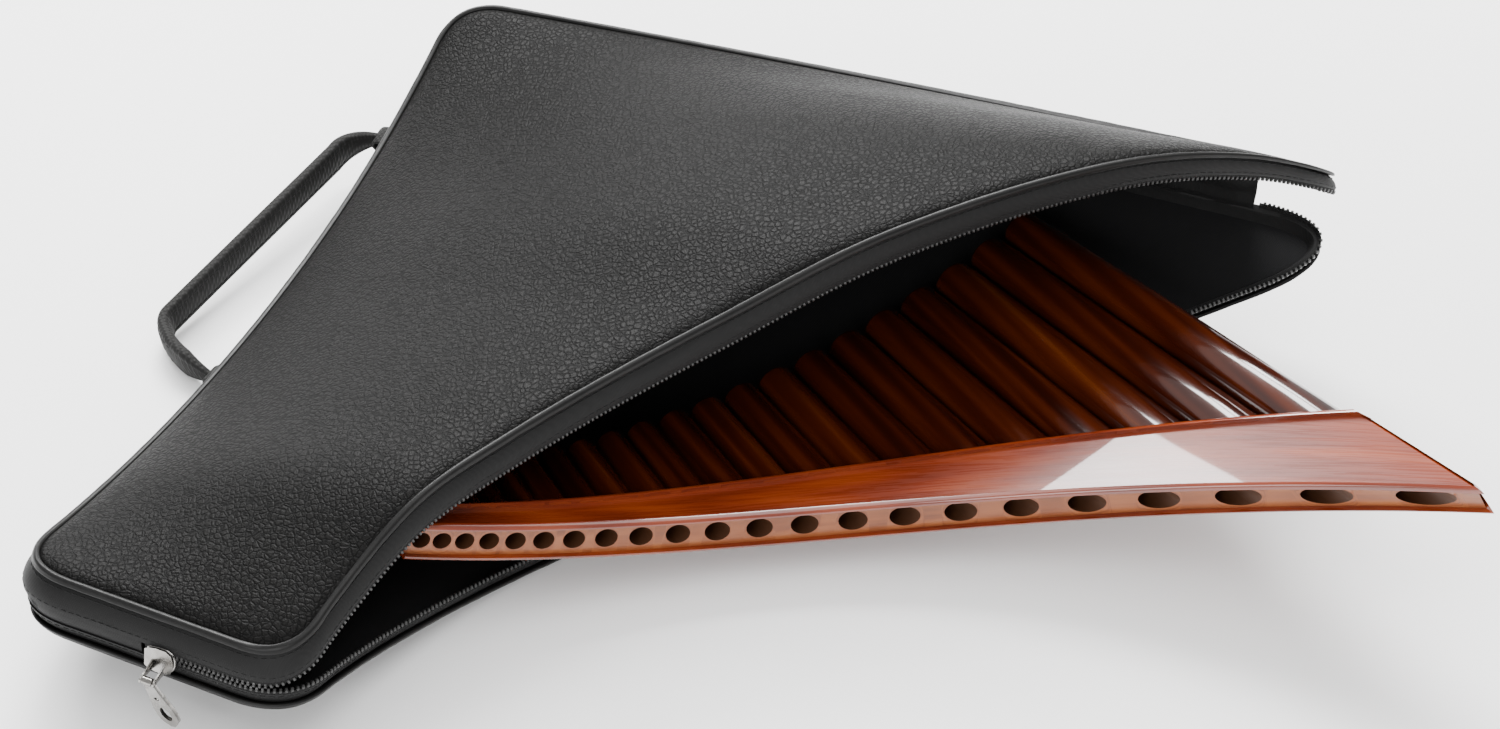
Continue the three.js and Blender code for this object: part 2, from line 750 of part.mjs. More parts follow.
const zipRun = outlineRun('zip');
const hingeRun = outlineRun('hinge');
addPart('base_zip', loft(rectangleRings(
  zipRun,
  CHAIN_INSET,
  CHAIN_THICKNESS,
  BASE_WALL_TOP + GAP,
  BASE_CHAIN_TOP,
  false,
  false,
)), 'coil');
addPart('lid_zip', loft(rectangleRings(
  zipRun,
  CHAIN_INSET,
  CHAIN_THICKNESS,
  BASE_CHAIN_TOP + GAP,
  LID_CHAIN_TOP,
  true,
  true,
)), 'coil');
addPart('hinge_gusset', loft(rectangleRings(
  hingeRun,
  WALL_INSET,
  WALL_THICKNESS - 0.6,
  BASE_WALL_TOP + GAP,
  GUSSET_TOP,
  false,
  true,
)), 'gusset');

addPart('zip_slider', makeSlider(), 'metal');
addPart('zip_pull', makePull(), 'metal');
addPart('handle_strap', makeHandle(), 'webbing');
addPart('handle_anchor_front', makeAnchor(HANDLE_FRONT), 'webbing');
addPart('handle_anchor_rear', makeAnchor(HANDLE_REAR), 'webbing');

// The origin sits under the middle of the whole object, on the surface it rests on.
const bounds = new THREE.Box3();
for (const mesh of group.children) {
  mesh.geometry.computeBoundingBox();
  bounds.union(mesh.geometry.boundingBox);
}
const centre = bounds.getCenter(new THREE.Vector3());
for (const mesh of group.children) {
  mesh.geometry.translate(-centre.x, -centre.y, -bounds.min.z);
}

export default group;
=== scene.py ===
"""Curved pan flute half drawn out of its zip case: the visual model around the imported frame."""

import math

import bmesh
import bpy
import numpy as np
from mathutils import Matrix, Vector


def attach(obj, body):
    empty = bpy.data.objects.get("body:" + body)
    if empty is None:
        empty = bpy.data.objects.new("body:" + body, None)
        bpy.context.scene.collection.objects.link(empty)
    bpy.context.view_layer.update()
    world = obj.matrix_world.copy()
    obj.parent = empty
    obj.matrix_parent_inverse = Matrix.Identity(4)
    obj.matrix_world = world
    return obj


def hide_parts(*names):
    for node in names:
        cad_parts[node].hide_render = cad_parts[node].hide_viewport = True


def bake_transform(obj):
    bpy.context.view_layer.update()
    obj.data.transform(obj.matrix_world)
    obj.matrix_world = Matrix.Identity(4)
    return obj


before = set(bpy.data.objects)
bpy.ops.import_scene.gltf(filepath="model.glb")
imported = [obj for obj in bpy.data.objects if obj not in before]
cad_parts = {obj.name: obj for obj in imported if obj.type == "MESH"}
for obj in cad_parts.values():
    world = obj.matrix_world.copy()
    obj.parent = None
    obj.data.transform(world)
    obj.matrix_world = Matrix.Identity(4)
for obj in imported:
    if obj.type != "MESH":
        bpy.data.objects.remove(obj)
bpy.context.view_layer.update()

# ---- the part's own dimensions, in mm
SHIFT = np.array([-1.0446, 707.6553, 1.9509])

PIPES = 22
FLUTE_R, FLUTE_FAN = 375.0, 0.000605
PITCH_A, PITCH_B, PITCH_SAG, PITCH_START = 7.77, 24.5, -0.87, -131.0
LENGTH_BASE, LENGTH_GROWTH, LENGTH_POWER = 31.66, 193.08, 1.539
PIPE_WALL, PIPE_DEPTH_A, PIPE_DEPTH_B = 1.5, 10.4, 18.0
RAIL_DEPTH_A, RAIL_DEPTH_B, RAIL_WIDTH, RAIL_WIDTH_GROWTH = 16.5, 19.0, 16.0, 21.5
RAIL_FIRST, RAIL_LAST = -0.8, 21.56
HOLE_A, HOLE_B = 6.9, 12.0
FLUTE_ORIGIN = np.array([-28.3, 673.3, 19.5])
FLUTE_YAW, FLUTE_PITCH, FLUTE_ROLL = 29.88, -6.56, 4.1

CASE_MIDDLE = np.array([-200.0, 730.5, 0.0])
CASE_YAW, CASE_R = 66.96, 542.0
CASE_W, SHORT_END, LONG_END, SLOPE_POWER = 373.8, 115.9, 418.0, 1.79
CORNER_A, CORNER_B, CORNER_C, CORNER_D = 24.0, 22.0, 48.0, 24.0
FOOT_HALF = 46.0
CURL_AT_HINGE, CURL_TO_ZIP = 4.5, 20.0
BELLY, BELLY_AT_HINGE, BELLY_FADE = 4.3, 2.7, 25.0
BASE_SEAM, LID_SEAM = 2.6, 25.8
BASE_PANEL_TOP, BASE_WALL_TOP, BASE_ZIP_TOP = 4.0, 8.3, 11.2
LID_ZIP_TOP, LID_WALL_TOP, LID_TOP = 14.1, 23.8, 28.3
LIFT_T = np.array([0, .1, .2, .3, .5, .65, .8, .9, 1])
LIFT_H = np.array([0, 21.5, 43.5, 54, 74, 91, 88, 65, 17])
LIFT_BULGE = 0.5
ZIP_START, ZIP_STOP = 58.0, 3.0
SLIDER_AT, PULL_STAND_OFF, PULL_LENGTH, PULL_LEAN = 65.0, 8.6, 25.0, 16.0
HANDLE_FRONT, HANDLE_REAR, HANDLE_REACH, HANDLE_LEVEL = -32.0, 118.0, 34.0, 8.5
HANDLE_WIDTH, HANDLE_THICK, HANDLE_START, HANDLE_REACH_REAR = 15.0, 6.0, 11.9, 0.42

# pipes and rail: the gap beside a pipe, its mouth, bore and seat, and the rail's rounding and holes
PIPE_GAP, MOUTH_ROUND, MOUTH_DEPTH = 0.1, 0.8, 1.6
BORE_EASE, BORE_LEVELS, BORE_FLOOR, PIPE_SEAT = 0.05, (-1.0, -12.0, -30.0), 1.8, 1.2
RAIL_ROUND, RAIL_END_SHARE, RAIL_FACING, HOLE_PAST = 2.2, 0.86, 0.62, 9
GRAIN_STEP = np.array([0.37, 0.83, 0.59])

# case skins: where a panel's rings close, its seams, and how far in from the outline each skin stands
PANEL_MIDDLE, PANEL_INSET, SEAM_DIP, LINING_DIP = np.array([40.0, -100.0]), 0.5, 1.7, 1.2
WALL_FACE, WALL_BACK, TAPE_FACE, TAPE_BACK = 1.4, 3.8, 1.5, 2.4
CLOTH_FACE, CLOTH_BACK, CLOTH_MIDDLE, STRIP_POINTS = 2.1, 3.0, 2.5, 23
PIPING_R, PIPING_INSET = 1.5, -0.3
TOOTH_PITCH, TOOTH_INSET, TOOTH_SIZE = 1.9, 1.9, (1.25, 1.9, 2.5)
STITCH_PITCH, STITCH_SIZE = 3.1, (2.3, 0.5, 0.5)

# handle, its tabs and loops, and the slider's lugs
HANDLE_END_WIDTH, HANDLE_END_THICK, STITCH_ROW = 5, 3, 0.30
HANDLE_STITCH_PITCH, HANDLE_STITCH_LENGTH, HANDLE_STITCH_R = 3.4, 2.4, 0.3
TAB_BACK, TAB_FACE, TAB_HALF, TAB_HALF_HEIGHT = 6.05, 9.1, 8.0, 4.7
LOOP_START, LOOP_REACH, LOOP_HALF, LOOP_HALF_HEIGHT = 8.6, 5.4, 5.0, 3.9
LUG_APART, LUG_HALF = 2.7, 0.42


# ---- where things are
def metres(p):
    return (np.asarray(p, float) - SHIFT) / 1000.0


def turn_x(a):
    c, s = math.cos(a), math.sin(a)
    return np.array([[1, 0, 0], [0, c, -s], [0, s, c]])


def turn_y(a):
    c, s = math.cos(a), math.sin(a)
    return np.array([[c, 0, s], [0, 1, 0], [-s, 0, c]])


def turn_z(a):
    c, s = math.cos(a), math.sin(a)
    return np.array([[c, -s, 0], [s, c, 0], [0, 0, 1]])


def round_angles(count):
    return np.linspace(0, 2 * math.pi, count, endpoint=False)


FLUTE_TURN = (turn_z(math.radians(FLUTE_YAW)) @ turn_x(math.radians(FLUTE_PITCH))
              @ turn_y(math.radians(FLUTE_ROLL)))
# the case's own directions
ALONG = np.array([math.cos(math.radians(CASE_YAW)), math.sin(math.radians(CASE_YAW)), 0.0])
ACROSS = np.array([-math.sin(math.radians(CASE_YAW)), math.cos(math.radians(CASE_YAW)), 0.0])
UP = np.array([0.0, 0.0, 1.0])


def pipe_offset(i):
    x = np.asarray(i, float) / (PIPES - 1)
    linear = PITCH_A * x + (PITCH_B - PITCH_A) * x * x / 2
    sag = 4 * PITCH_SAG * (x * x / 2 - x ** 3 / 3)
    return PITCH_START + (PIPES - 1) * (linear + sag)


def pipe_length(i):
    return LENGTH_BASE + LENGTH_GROWTH * 2.0 ** ((np.asarray(i, float) - (PIPES - 1)) / 7 * LENGTH_POWER)


def length_slope(i, step=0.01):
    """How fast the pipes grow longer across the flute."""
    return (pipe_length(i + step) - pipe_length(i - step)) / (pipe_offset(i + step) - pipe_offset(i - step))


def rail_width(i):
    square = RAIL_WIDTH + RAIL_WIDTH_GROWTH * np.maximum(0, i / (PIPES - 1)) ** 2
    return square * np.hypot(1, length_slope(i))


def rail_edge(i):
    return -pipe_length(i) + rail_width(i)


def flute_across(i, v):
    return pipe_offset(i) * (1 - FLUTE_FAN * (v + pipe_length(i)))


def flute_point(s, v, n):
    """From the flat flute's across, along and out to the shared frame, in mm."""
    s, v, n = np.broadcast_arrays(*(np.asarray(q, float) for q in (s, v, n)))
    turn = s / FLUTE_R
    p = np.stack([np.sin(turn) * (FLUTE_R - n), v, FLUTE_R - np.cos(turn) * (FLUTE_R - n)], -1)
    return p @ FLUTE_TURN.T + FLUTE_ORIGIN


def zip_side(t):
    """The sloping side of the case's outline, at t from the short end to the long end."""
    return -SHORT_END - (LONG_END - SHORT_END) * np.clip(t, 0, 1) ** SLOPE_POWER


def zip_share(s, v):
    return np.clip(v / zip_side((s + CASE_W / 2) / CASE_W), 0, 1)


def curl(s, v):
    beyond = np.maximum(0, (s - FOOT_HALF) / (CASE_W / 2 - FOOT_HALF))
    return beyond ** 2 * (CURL_AT_HINGE + CURL_TO_ZIP * zip_share(s, v))


def belly(v, n):
    share = np.clip((n - BASE_SEAM) / (LID_SEAM - BASE_SEAM), 0, 1)
    return (BELLY + BELLY_AT_HINGE * np.exp(v / BELLY_FADE)) * np.sin(math.pi * share) ** 0.8


def case_point(s, v, n, lift=0.0):
    """From the flat case's along, across and up to the shared frame, in mm."""
    s, v, n, lift = np.broadcast_arrays(*(np.asarray(q, float) for q in (s, v, n, lift)))
    turn = s / CASE_R
    flat = (np.sin(turn) * (CASE_R - n))[..., None] * ALONG + v[..., None] * ACROSS
    return CASE_MIDDLE + flat + (CASE_R - np.cos(turn) * (CASE_R - n) + curl(s, v) + lift)[..., None] * UP


FOOT_LEVEL = case_point(FOOT_HALF, 0.0, 0.0)[2]


def edge_lift(t):
    """The lid's lift along the zip side: a smooth curve through LIFT_T and LIFT_H."""
    x = np.clip(t, 0, 1)
    j = np.clip(np.searchsorted(LIFT_T, x, side="left") - 1, 0, len(LIFT_T) - 2)
    slope = np.empty(len(LIFT_T))
    slope[1:-1] = (LIFT_H[2:] - LIFT_H[:-2]) / (LIFT_T[2:] - LIFT_T[:-2])
    slope[0] = (LIFT_H[1] - LIFT_H[0]) / (LIFT_T[1] - LIFT_T[0])
    slope[-1] = (LIFT_H[-1] - LIFT_H[-2]) / (LIFT_T[-1] - LIFT_T[-2])
    width = LIFT_T[j + 1] - LIFT_T[j]
    q = (x - LIFT_T[j]) / width
    first = (1 + 2 * q) * (1 - q) ** 2 * LIFT_H[j] + q * (1 - q) ** 2 * width * slope[j]
    return first + q * q * (3 - 2 * q) * LIFT_H[j + 1] + q * q * (q - 1) * width * slope[j + 1]


def lid_lift(s, v):
    """The lid's lift over the base, from nothing at the hinge to the edge's lift at the zip."""
    x = zip_share(s, v)
    return np.maximum(0, edge_lift((s + CASE_W / 2) / CASE_W)) * x * (1 + LIFT_BULGE * (1 - x))


# ---- outline of the case, evenly sampled
def run_along(path):
    """Distance along a path at each of its points."""
    return np.concatenate([[0], np.cumsum(np.linalg.norm(np.diff(path, axis=0), axis=1))])


def make_outline(step=2.0):
    half = CASE_W / 2
    tb, tc = CORNER_B / CASE_W, 1 - CORNER_C / CASE_W / 1.6
    t = np.linspace(tb, tc, 120)
    sides = [
        np.array([[-half, -CORNER_A], [-half, -SHORT_END + CORNER_B]]),
        np.stack([-half + CASE_W * t, zip_side(t)], -1),
        np.array([[half, -LONG_END + CORNER_C], [half, -CORNER_D]]),
        np.array([[half - CORNER_D, 0], [-half + CORNER_A, 0]]),
    ]
    corners = np.array([[-half, -SHORT_END], [half, -LONG_END], [half, 0], [-half, 0]])
    pts = []
    q = np.linspace(0, 1, 16)[1:-1, None]
    for k, side in enumerate(sides):
        pts.append(side)
        a, b, c = side[-1], corners[k], sides[(k + 1) % 4][0]
        pts.append((1 - q) ** 2 * a + 2 * q * (1 - q) * b + q * q * c)
    p = np.concatenate(pts)
    ring = np.concatenate([p, p[:1]])
    run = run_along(ring)
    count = int(round(run[-1] / step))
    d = np.linspace(0, run[-1], count, endpoint=False)
    even = np.stack([np.interp(d, run, ring[:, 0]), np.interp(d, run, ring[:, 1])], -1)
    delta = np.roll(even, -1, 0) - np.roll(even, 1, 0)
    delta /= np.linalg.norm(delta, axis=1)[:, None]
    inward = np.stack([-delta[:, 1], delta[:, 0]], -1)
    return even, inward, d


OUT, INWARD, RUN = make_outline()
COUNT = len(OUT)


def edge_point(k, inset, n, lifted):
    """Points on the outline moved inwards. k picks them; a column of k makes a row of points for each."""
    depth = np.asarray(inset) - belly(OUT[k][..., 1], np.asarray(n))
    p = OUT[k] + INWARD[k] * depth[..., None]
    return case_point(p[..., 0], p[..., 1], n, lid_lift(p[..., 0], p[..., 1]) if lifted else 0.0)


def run_index(kind):
    """The outline's points that the zip runs along, or those that the hinge cloth runs along, in order."""
    s, v = OUT[:, 0], OUT[:, 1]
    half = CASE_W / 2
    on_ab = (s < -half + 1) & (v < -ZIP_START)
    on_bc = (v < -SHORT_END + CORNER_B + 0.5) & (s < half - 1)
    on_cd = (s >= half - 1) & (v < -LONG_END + CORNER_C + ZIP_STOP)
    is_zip = on_ab | on_bc | on_cd
    if kind == "hinge":
        is_zip = ~is_zip
    first = [k for k in range(COUNT) if is_zip[k] and not is_zip[k - 1]][0]
    out = []
    k = first
    while is_zip[k % COUNT]:
        out.append(k % COUNT)
        k += 1
    return np.array(out)


# ---- mesh helpers
def add_mesh(name, verts, faces, material, smooth=True, attrs=None):
    mesh = bpy.data.meshes.new(name)
    mesh.from_pydata([tuple(v) for v in np.asarray(verts)], [], [tuple(int(i) for i in f) for f in faces])
    mesh.validate()
    for key, values in (attrs or {}).items():
        values = np.asarray(values, np.float32)
        kind = "FLOAT_VECTOR" if values.ndim == 2 else "FLOAT"
        layer = mesh.attributes.new(key, kind, "POINT")
        layer.data.foreach_set("vector" if values.ndim == 2 else "value", values.ravel())
    if smooth:
        mesh.polygons.foreach_set("use_smooth", [True] * len(mesh.polygons))
    mesh.materials.append(material)
    obj = bpy.data.objects.new(name, mesh)
    bpy.context.scene.collection.objects.link(obj)
    return obj


def grid_faces(nu, nv, close_u=False, close_v=False, flip=False, start=0):
    u = np.arange(nu if close_u else nu - 1)
    v = np.arange(nv if close_v else nv - 1)
    a, b = np.meshgrid(u, v, indexing="ij")
    a2, b2 = (a + 1) % nu, (b + 1) % nv
    quad = np.stack([a * nv + b, a2 * nv + b, a2 * nv + b2, a * nv + b2], -1).reshape(-1, 4) + start
    return quad[:, ::-1] if flip else quad


def outward_faces(verts, faces):
    """Faces turned so that the closed solid's volume is positive."""
    v = np.asarray(verts) - np.mean(verts, 0)
    total = 0.0
    for f in faces:
        for k in range(1, len(f) - 1):
            total += np.dot(v[f[0]], np.cross(v[f[k]], v[f[k + 1]]))
    return [tuple(reversed(f)) for f in faces] if total < 0 else faces


def loft(name, rings, material, close_u=False, attrs=None, smooth=True):
    """A closed solid from rings (nu, nv, 3) in metres; the ends are capped unless it closes on itself."""
    nu, nv = rings.shape[:2]
    faces = [tuple(f) for f in grid_faces(nu, nv, close_u, True)]
    if not close_u:
        faces.append(tuple(range(nv))[::-1])
        faces.append(tuple((nu - 1) * nv + k for k in range(nv)))
    verts = rings.reshape(-1, 3)
    return add_mesh(name, verts, outward_faces(verts, faces), material, smooth, attrs)


def auto_smooth(obj, degrees):
    """Sharp edges where the faces meet at more than the angle."""
    mesh = obj.data
    mesh.polygons.foreach_set("use_smooth", [True] * len(mesh.polygons))
    mesh.set_sharp_from_angle(angle=math.radians(degrees))


def apply_modifiers(obj):
    bpy.context.view_layer.update()
    graph = bpy.context.evaluated_depsgraph_get()
    mesh = bpy.data.meshes.new_from_object(obj.evaluated_get(graph))
    obj.modifiers.clear()
    obj.data = mesh


def smooth_noise(p, scale, seed, octaves):
    """Sum of a few smooth waves, about -1 to 1; p is (..., 2) and scale the wave length, both in mm."""
    gen = np.random.default_rng(seed)
    total, gain, size = 0.0, 1.0, 0.0
    for o in range(octaves):
        for _ in range(5):
            k = gen.normal(size=p.shape[-1])
            k *= 2 * math.pi / (scale / 2 ** o) / np.linalg.norm(k) * gen.uniform(0.7, 1.3)
            total = total + gain * np.sin(p @ k + gen.uniform(0, 2 * math.pi))
        size += gain * 5
        gain *= 0.5
    return total / size * 2.0


# ---- materials
def new_material(name):
    m = bpy.data.materials.new(name)
    m.use_nodes = True
    nt = m.node_tree
    nt.nodes.clear()
    out = nt.nodes.new("ShaderNodeOutputMaterial")
    shader = nt.nodes.new("ShaderNodeBsdfPrincipled")
    nt.links.new(shader.outputs[0], out.inputs[0])
    return m, nt, shader


def feed(nt, n, inputs):
    """Link sockets to the node's inputs, and set the inputs that get a plain value."""
    for key, value in inputs.items():
        if isinstance(value, bpy.types.NodeSocket):
            nt.links.new(value, n.inputs[key])
        else:
            n.inputs[key].default_value = value


def node(nt, kind, inputs=None, **props):
    n = nt.nodes.new(kind)
    for key, value in props.items():
        setattr(n, key, value)
    feed(nt, n, inputs or {})
    return n


def ramp(nt, fac, stops):
    n = node(nt, "ShaderNodeValToRGB", {"Fac": fac})
    e = n.color_ramp.elements
    while len(e) < len(stops):
        e.new(0.5)
    for item, (pos, colour) in zip(e, stops):
        item.position = pos
        item.color = (*colour, 1)
    return n.outputs["Color"]


def math_node(nt, op, a, b=0.0, c=0.0):
    return node(nt, "ShaderNodeMath", {0: a, 1: b, 2: c}, operation=op).outputs[0]


def bump(nt, height, distance, strength):
    inputs = {"Height": height, "Distance": distance, "Strength": strength}
    return node(nt, "ShaderNodeBump", inputs).outputs[0]


def map_range(nt, value, low, high, to_low, to_high):
    return node(nt, "ShaderNodeMapRange", {
        "Value": value, "From Min": low, "From Max": high, "To Min": to_low, "To Max": to_high,
    }).outputs[0]


def from_noise(nt, value, low, high):
    """A noise value, most of which lies between 0.3 and 0.7, spread over low to high."""
    return map_range(nt, value, 0.3, 0.7, low, high)


def noise(nt, where, scale, detail, **more):
    inputs = {"Vector": where, "Scale": scale, "Detail": detail, **more}
    return node(nt, "ShaderNodeTexNoise", inputs).outputs["Fac"]


def bands(nt, where, direction, inputs):
    """Wave bands that follow each other along the given axis."""
    return node(nt, "ShaderNodeTexWave", {"Vector": where, **inputs},
                wave_type="BANDS", bands_direction=direction).outputs["Fac"]


def cell_borders(nt, where, scale):
    """Distance from the nearest border between cells."""
    return node(nt, "ShaderNodeTexVoronoi", {"Vector": where, "Scale": scale},
                feature="DISTANCE_TO_EDGE").outputs["Distance"]


def mapped(nt, where, key, value):
    return node(nt, "ShaderNodeMapping", {"Vector": where, key: value}).outputs[0]


def object_coords(nt):
    return node(nt, "ShaderNodeTexCoord").outputs["Object"]


def attribute(nt, name, output):
    return node(nt, "ShaderNodeAttribute", attribute_name=name).outputs[output]


def leatherette():
    """Black pebble-grain leatherette: raised pebbles in fine creases, worn a little smoother on top, with
    painted shade: the creases painted near black and the pebble tops lighter.
    """
    m, nt, shader = new_material("leatherette_black")
    co = object_coords(nt)
    wander = node(nt, "ShaderNodeTexNoise", {"Vector": co, "Scale": 240.0, "Detail": 2.0}).outputs["Color"]
    warped = node(nt, "ShaderNodeMixRGB", {"Fac": 0.0018, "Color1": co, "Color2": wander},
                  blend_type="ADD").outputs[0]
    pebble = map_range(nt, cell_borders(nt, warped, 430.0), 0.0, 0.22, 0.0, 1.0)
    fine = map_range(nt, cell_borders(nt, warped, 900.0), 0.0, 0.3, 0.0, 1.0)
    height = math_node(nt, "MULTIPLY_ADD", fine, 0.35, pebble)
    patch = noise(nt, co, 9.0, 3.0)
    # painted shade: the colour follows the grain's height, near black down in the creases and lighter on the
    # pebble tops
    colour = ramp(nt, height, [(0.0, (0.0006, 0.0006, 0.0006)), (0.6, (0.0024, 0.0023, 0.0022)),
                               (1.0, (0.0044, 0.0042, 0.0040))])
    shade = from_noise(nt, patch, 0.82, 1.15)
    crease_shaded_colour = node(nt, "ShaderNodeMixRGB", {"Fac": 1.0, "Color1": colour, "Color2": shade},
                  blend_type="MULTIPLY").outputs[0]
    rough = math_node(nt, "MULTIPLY_ADD", pebble, -0.12, 0.52)
    feed(nt, shader, {
        "Base Color": crease_shaded_colour,
        "Roughness": math_node(nt, "MULTIPLY_ADD", patch, 0.10, rough),
        "Normal": bump(nt, height, 0.00022, 0.75),
        "Specular IOR Level": 0.07,
    })
    return m


def cloth(name, base, pitch, rough, depth, sheen):
    """Woven black cloth: fine over-and-under weave, with a slow change of shade."""
    m, nt, shader = new_material(name)
    co = object_coords(nt)
    turned = mapped(nt, co, "Rotation", (0.3, 0.2, math.radians(CASE_YAW)))
    # a wave texture of scale 1 repeats about 3.2 times in a metre
    thread = {"Scale": 1 / pitch / 3.2, "Distortion": 0.4, "Detail": 1.0}
    weave = math_node(nt, "MULTIPLY", bands(nt, turned, "X", thread), bands(nt, turned, "Y", thread))
    patch = noise(nt, co, 22.0, 4.0)
    dark = tuple(c * 0.55 for c in base)
    light = tuple(c * 1.35 for c in base)
    mixed = math_node(nt, "MULTIPLY_ADD", patch, 0.6, math_node(nt, "MULTIPLY", weave, 0.5))
    feed(nt, shader, {
        "Base Color": ramp(nt, mixed, [(0.1, dark), (0.8, light)]),
        "Roughness": math_node(nt, "MULTIPLY_ADD", patch, 0.15, rough - 0.08),
        "Normal": bump(nt, weave, depth, 0.6),
        "Sheen Weight": sheen,
        "Sheen Roughness": 0.4,
        "Specular IOR Level": 0.2,
    })
    return m


def piping_vinyl():
    m, nt, shader = new_material("piping_vinyl")
    co = object_coords(nt)
    fine = noise(nt, co, 700.0, 3.0)
    slow = noise(nt, co, 30.0, 2.0)
    feed(nt, shader, {
        "Base Color": ramp(nt, slow, [(0.3, (0.004, 0.004, 0.004)), (0.7, (0.008, 0.0078, 0.0075))]),
        "Roughness": from_noise(nt, fine, 0.34, 0.46),
        "Normal": bump(nt, fine, 0.00008, 0.4),
        "Specular IOR Level": 0.18,
    })
    return m


def nylon_teeth():
    m, nt, shader = new_material("zip_nylon")
    fine = noise(nt, object_coords(nt), 500.0, 2.0)
    feed(nt, shader, {
        "Base Color": ramp(nt, fine, [(0.3, (0.006, 0.006, 0.006)), (0.75, (0.016, 0.0155, 0.015))]),
        "Roughness": from_noise(nt, fine, 0.28, 0.42),
        "Normal": bump(nt, fine, 0.00005, 0.3),
    })
    return m


def nickel():
    m, nt, shader = new_material("nickel")
    co = object_coords(nt)
    patch = noise(nt, co, 180.0, 5.0)
    fine = noise(nt, co, 1400.0, 3.0)
    feed(nt, shader, {
        "Base Color": ramp(nt, patch, [(0.25, (0.20, 0.19, 0.175)), (0.7, (0.40, 0.39, 0.375))]),
        "Roughness": from_noise(nt, patch, 0.16, 0.34),
        "Normal": bump(nt, fine, 0.00004, 0.35),
        "Metallic": 1.0,
    })
    return m


def lacquer(name, tones, band, gloss, line=0.35, rough=(0.22, 0.34), coat_rough=0.03):
    """Wood under clear lacquer: the mesh carries grain, a position in metres, and tone, a shade per piece."""
    m, nt, shader = new_material(name)
    grain = attribute(nt, "grain", "Vector")
    tone = attribute(nt, "tone", "Fac")
    stretched = mapped(nt, grain, "Scale", band)
    broad = noise(nt, stretched, 1.0, 5.0, Roughness=0.55, Distortion=0.4)
    fine = noise(nt, mapped(nt, grain, "Scale", tuple(q * 7 for q in band)), 1.0, 3.0)
    rings = bands(nt, stretched, "X", {"Scale": 0.6, "Distortion": 6.0, "Detail": 3.0, "Detail Scale": 1.2})
    mixed = math_node(nt, "MULTIPLY_ADD", rings, line * 0.5, math_node(nt, "MULTIPLY", broad, 1.0 - line))
    mixed = math_node(nt, "MULTIPLY_ADD", fine, line * 0.5, mixed)
    mixed = math_node(nt, "ADD", mixed, tone)
    feed(nt, shader, {
        "Base Color": ramp(nt, mixed, tones),
        "Roughness": from_noise(nt, fine, *rough),
        "Normal": bump(nt, fine, 0.00002, 0.25),
        "Coat Normal": bump(nt, noise(nt, grain, 26.0, 1.0), 0.00015, 0.2),
        "Coat Weight": gloss,
        "Coat Roughness": coat_rough,
        "Coat IOR": 1.55,
        "Specular IOR Level": 0.4,
    })
    return m


def cork_material():
    m, nt, shader = new_material("cork_plain")
    co = object_coords(nt)
    grit = node(nt, "ShaderNodeTexVoronoi", {"Vector": co, "Scale": 600.0}).outputs["Distance"]
    patch = noise(nt, co, 300.0, 4.0)
    mixed = math_node(nt, "MULTIPLY", grit, patch)
    feed(nt, shader, {
        "Base Color": ramp(nt, mixed, [(0.05, (0.16, 0.08, 0.035)), (0.5, (0.42, 0.26, 0.13))]),
        "Roughness": from_noise(nt, patch, 0.75, 0.95),
        "Normal": bump(nt, grit, 0.0004, 0.6),
    })
    return m


def floor_material():
    m, nt, shader = new_material("floor_pale")
    patch = noise(nt, object_coords(nt), 3.0, 2.0)
    feed(nt, shader, {
        "Base Color": ramp(nt, patch, [(0.3, (0.93, 0.93, 0.93)), (0.7, (0.96, 0.96, 0.96))]),
        "Roughness": 0.9,
        "Specular IOR Level": 0.1,
    })
    return m


# name, base colour, thread pitch and relief in metres, roughness, sheen
LEATHER = leatherette()
NYLON = cloth("gusset_nylon", (0.006, 0.006, 0.006), 0.0005, 0.62, 0.00008, 0.02)
LINING = cloth("lining_cloth", (0.006, 0.006, 0.0065), 0.0006, 0.8, 0.0001, 0.05)
TAPE = cloth("zip_tape", (0.006, 0.006, 0.006), 0.0009, 0.8, 0.0002, 0.03)
WEBBING = cloth("webbing_strap", (0.008, 0.0078, 0.0075), 0.0016, 0.72, 0.0004, 0.04)
THREAD = cloth("thread_black", (0.007, 0.007, 0.007), 0.0004, 0.65, 0.0001, 0.02)
VINYL = piping_vinyl()
TEETH = nylon_teeth()
NICKEL = nickel()
CORK = cork_material()

PIPE_TONES = [(0.30, (0.010, 0.0013, 0.0004)), (0.48, (0.028, 0.0036, 0.0007)),
              (0.64, (0.055, 0.0085, 0.0012)), (0.80, (0.125, 0.030, 0.0035))]
RAIL_TONES = [(0.28, (0.10, 0.010, 0.0012)), (0.5, (0.165, 0.019, 0.0022)), (0.75, (0.24, 0.037, 0.0042))]
HOLE_TONES = [(0.28, (0.13, 0.030, 0.007)), (0.5, (0.22, 0.060, 0.015)), (0.75, (0.30, 0.095, 0.026))]
BORE_TONES = [(0.3, (0.03, 0.008, 0.002)), (0.7, (0.12, 0.045, 0.012))]
PIPE_WOOD = lacquer("lacquered_pipe", PIPE_TONES, (70.0, 2.5, 70.0), 1.0,
                    line=0.3, rough=(0.14, 0.22), coat_rough=0.08)
RAIL_WOOD = lacquer("lacquered_rail", RAIL_TONES, (9.0, 150.0, 150.0), 0.9, line=0.4)
RAIL_FACE = lacquer("rail_hole_face", HOLE_TONES, (12.0, 190.0, 190.0), 0.25,
                    line=0.4, rough=(0.36, 0.5), coat_rough=0.2)
BORE_WOOD = lacquer("bore_wood", BORE_TONES, (300.0, 20.0, 300.0), 0.1, rough=(0.5, 0.7), coat_rough=0.3)


def piece(obj, body, slot, *nodes):
    """Let the piece ride a body and hide the CAD nodes that it stands for; slot is not used."""
    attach(obj, body)
    if nodes:
        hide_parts(*nodes)


# ---- camera, floor and light, in metres
CAMERA_AT = (0.00104, -0.70766, 0.76177)
CAMERA_DOWN = 46.574
SENSOR_WIDTH, LENS = 36.0, 59.60
FLOOR_HALF, FLOOR_LEVEL = 6, -0.0005
WORLD_STRENGTH = 0.75

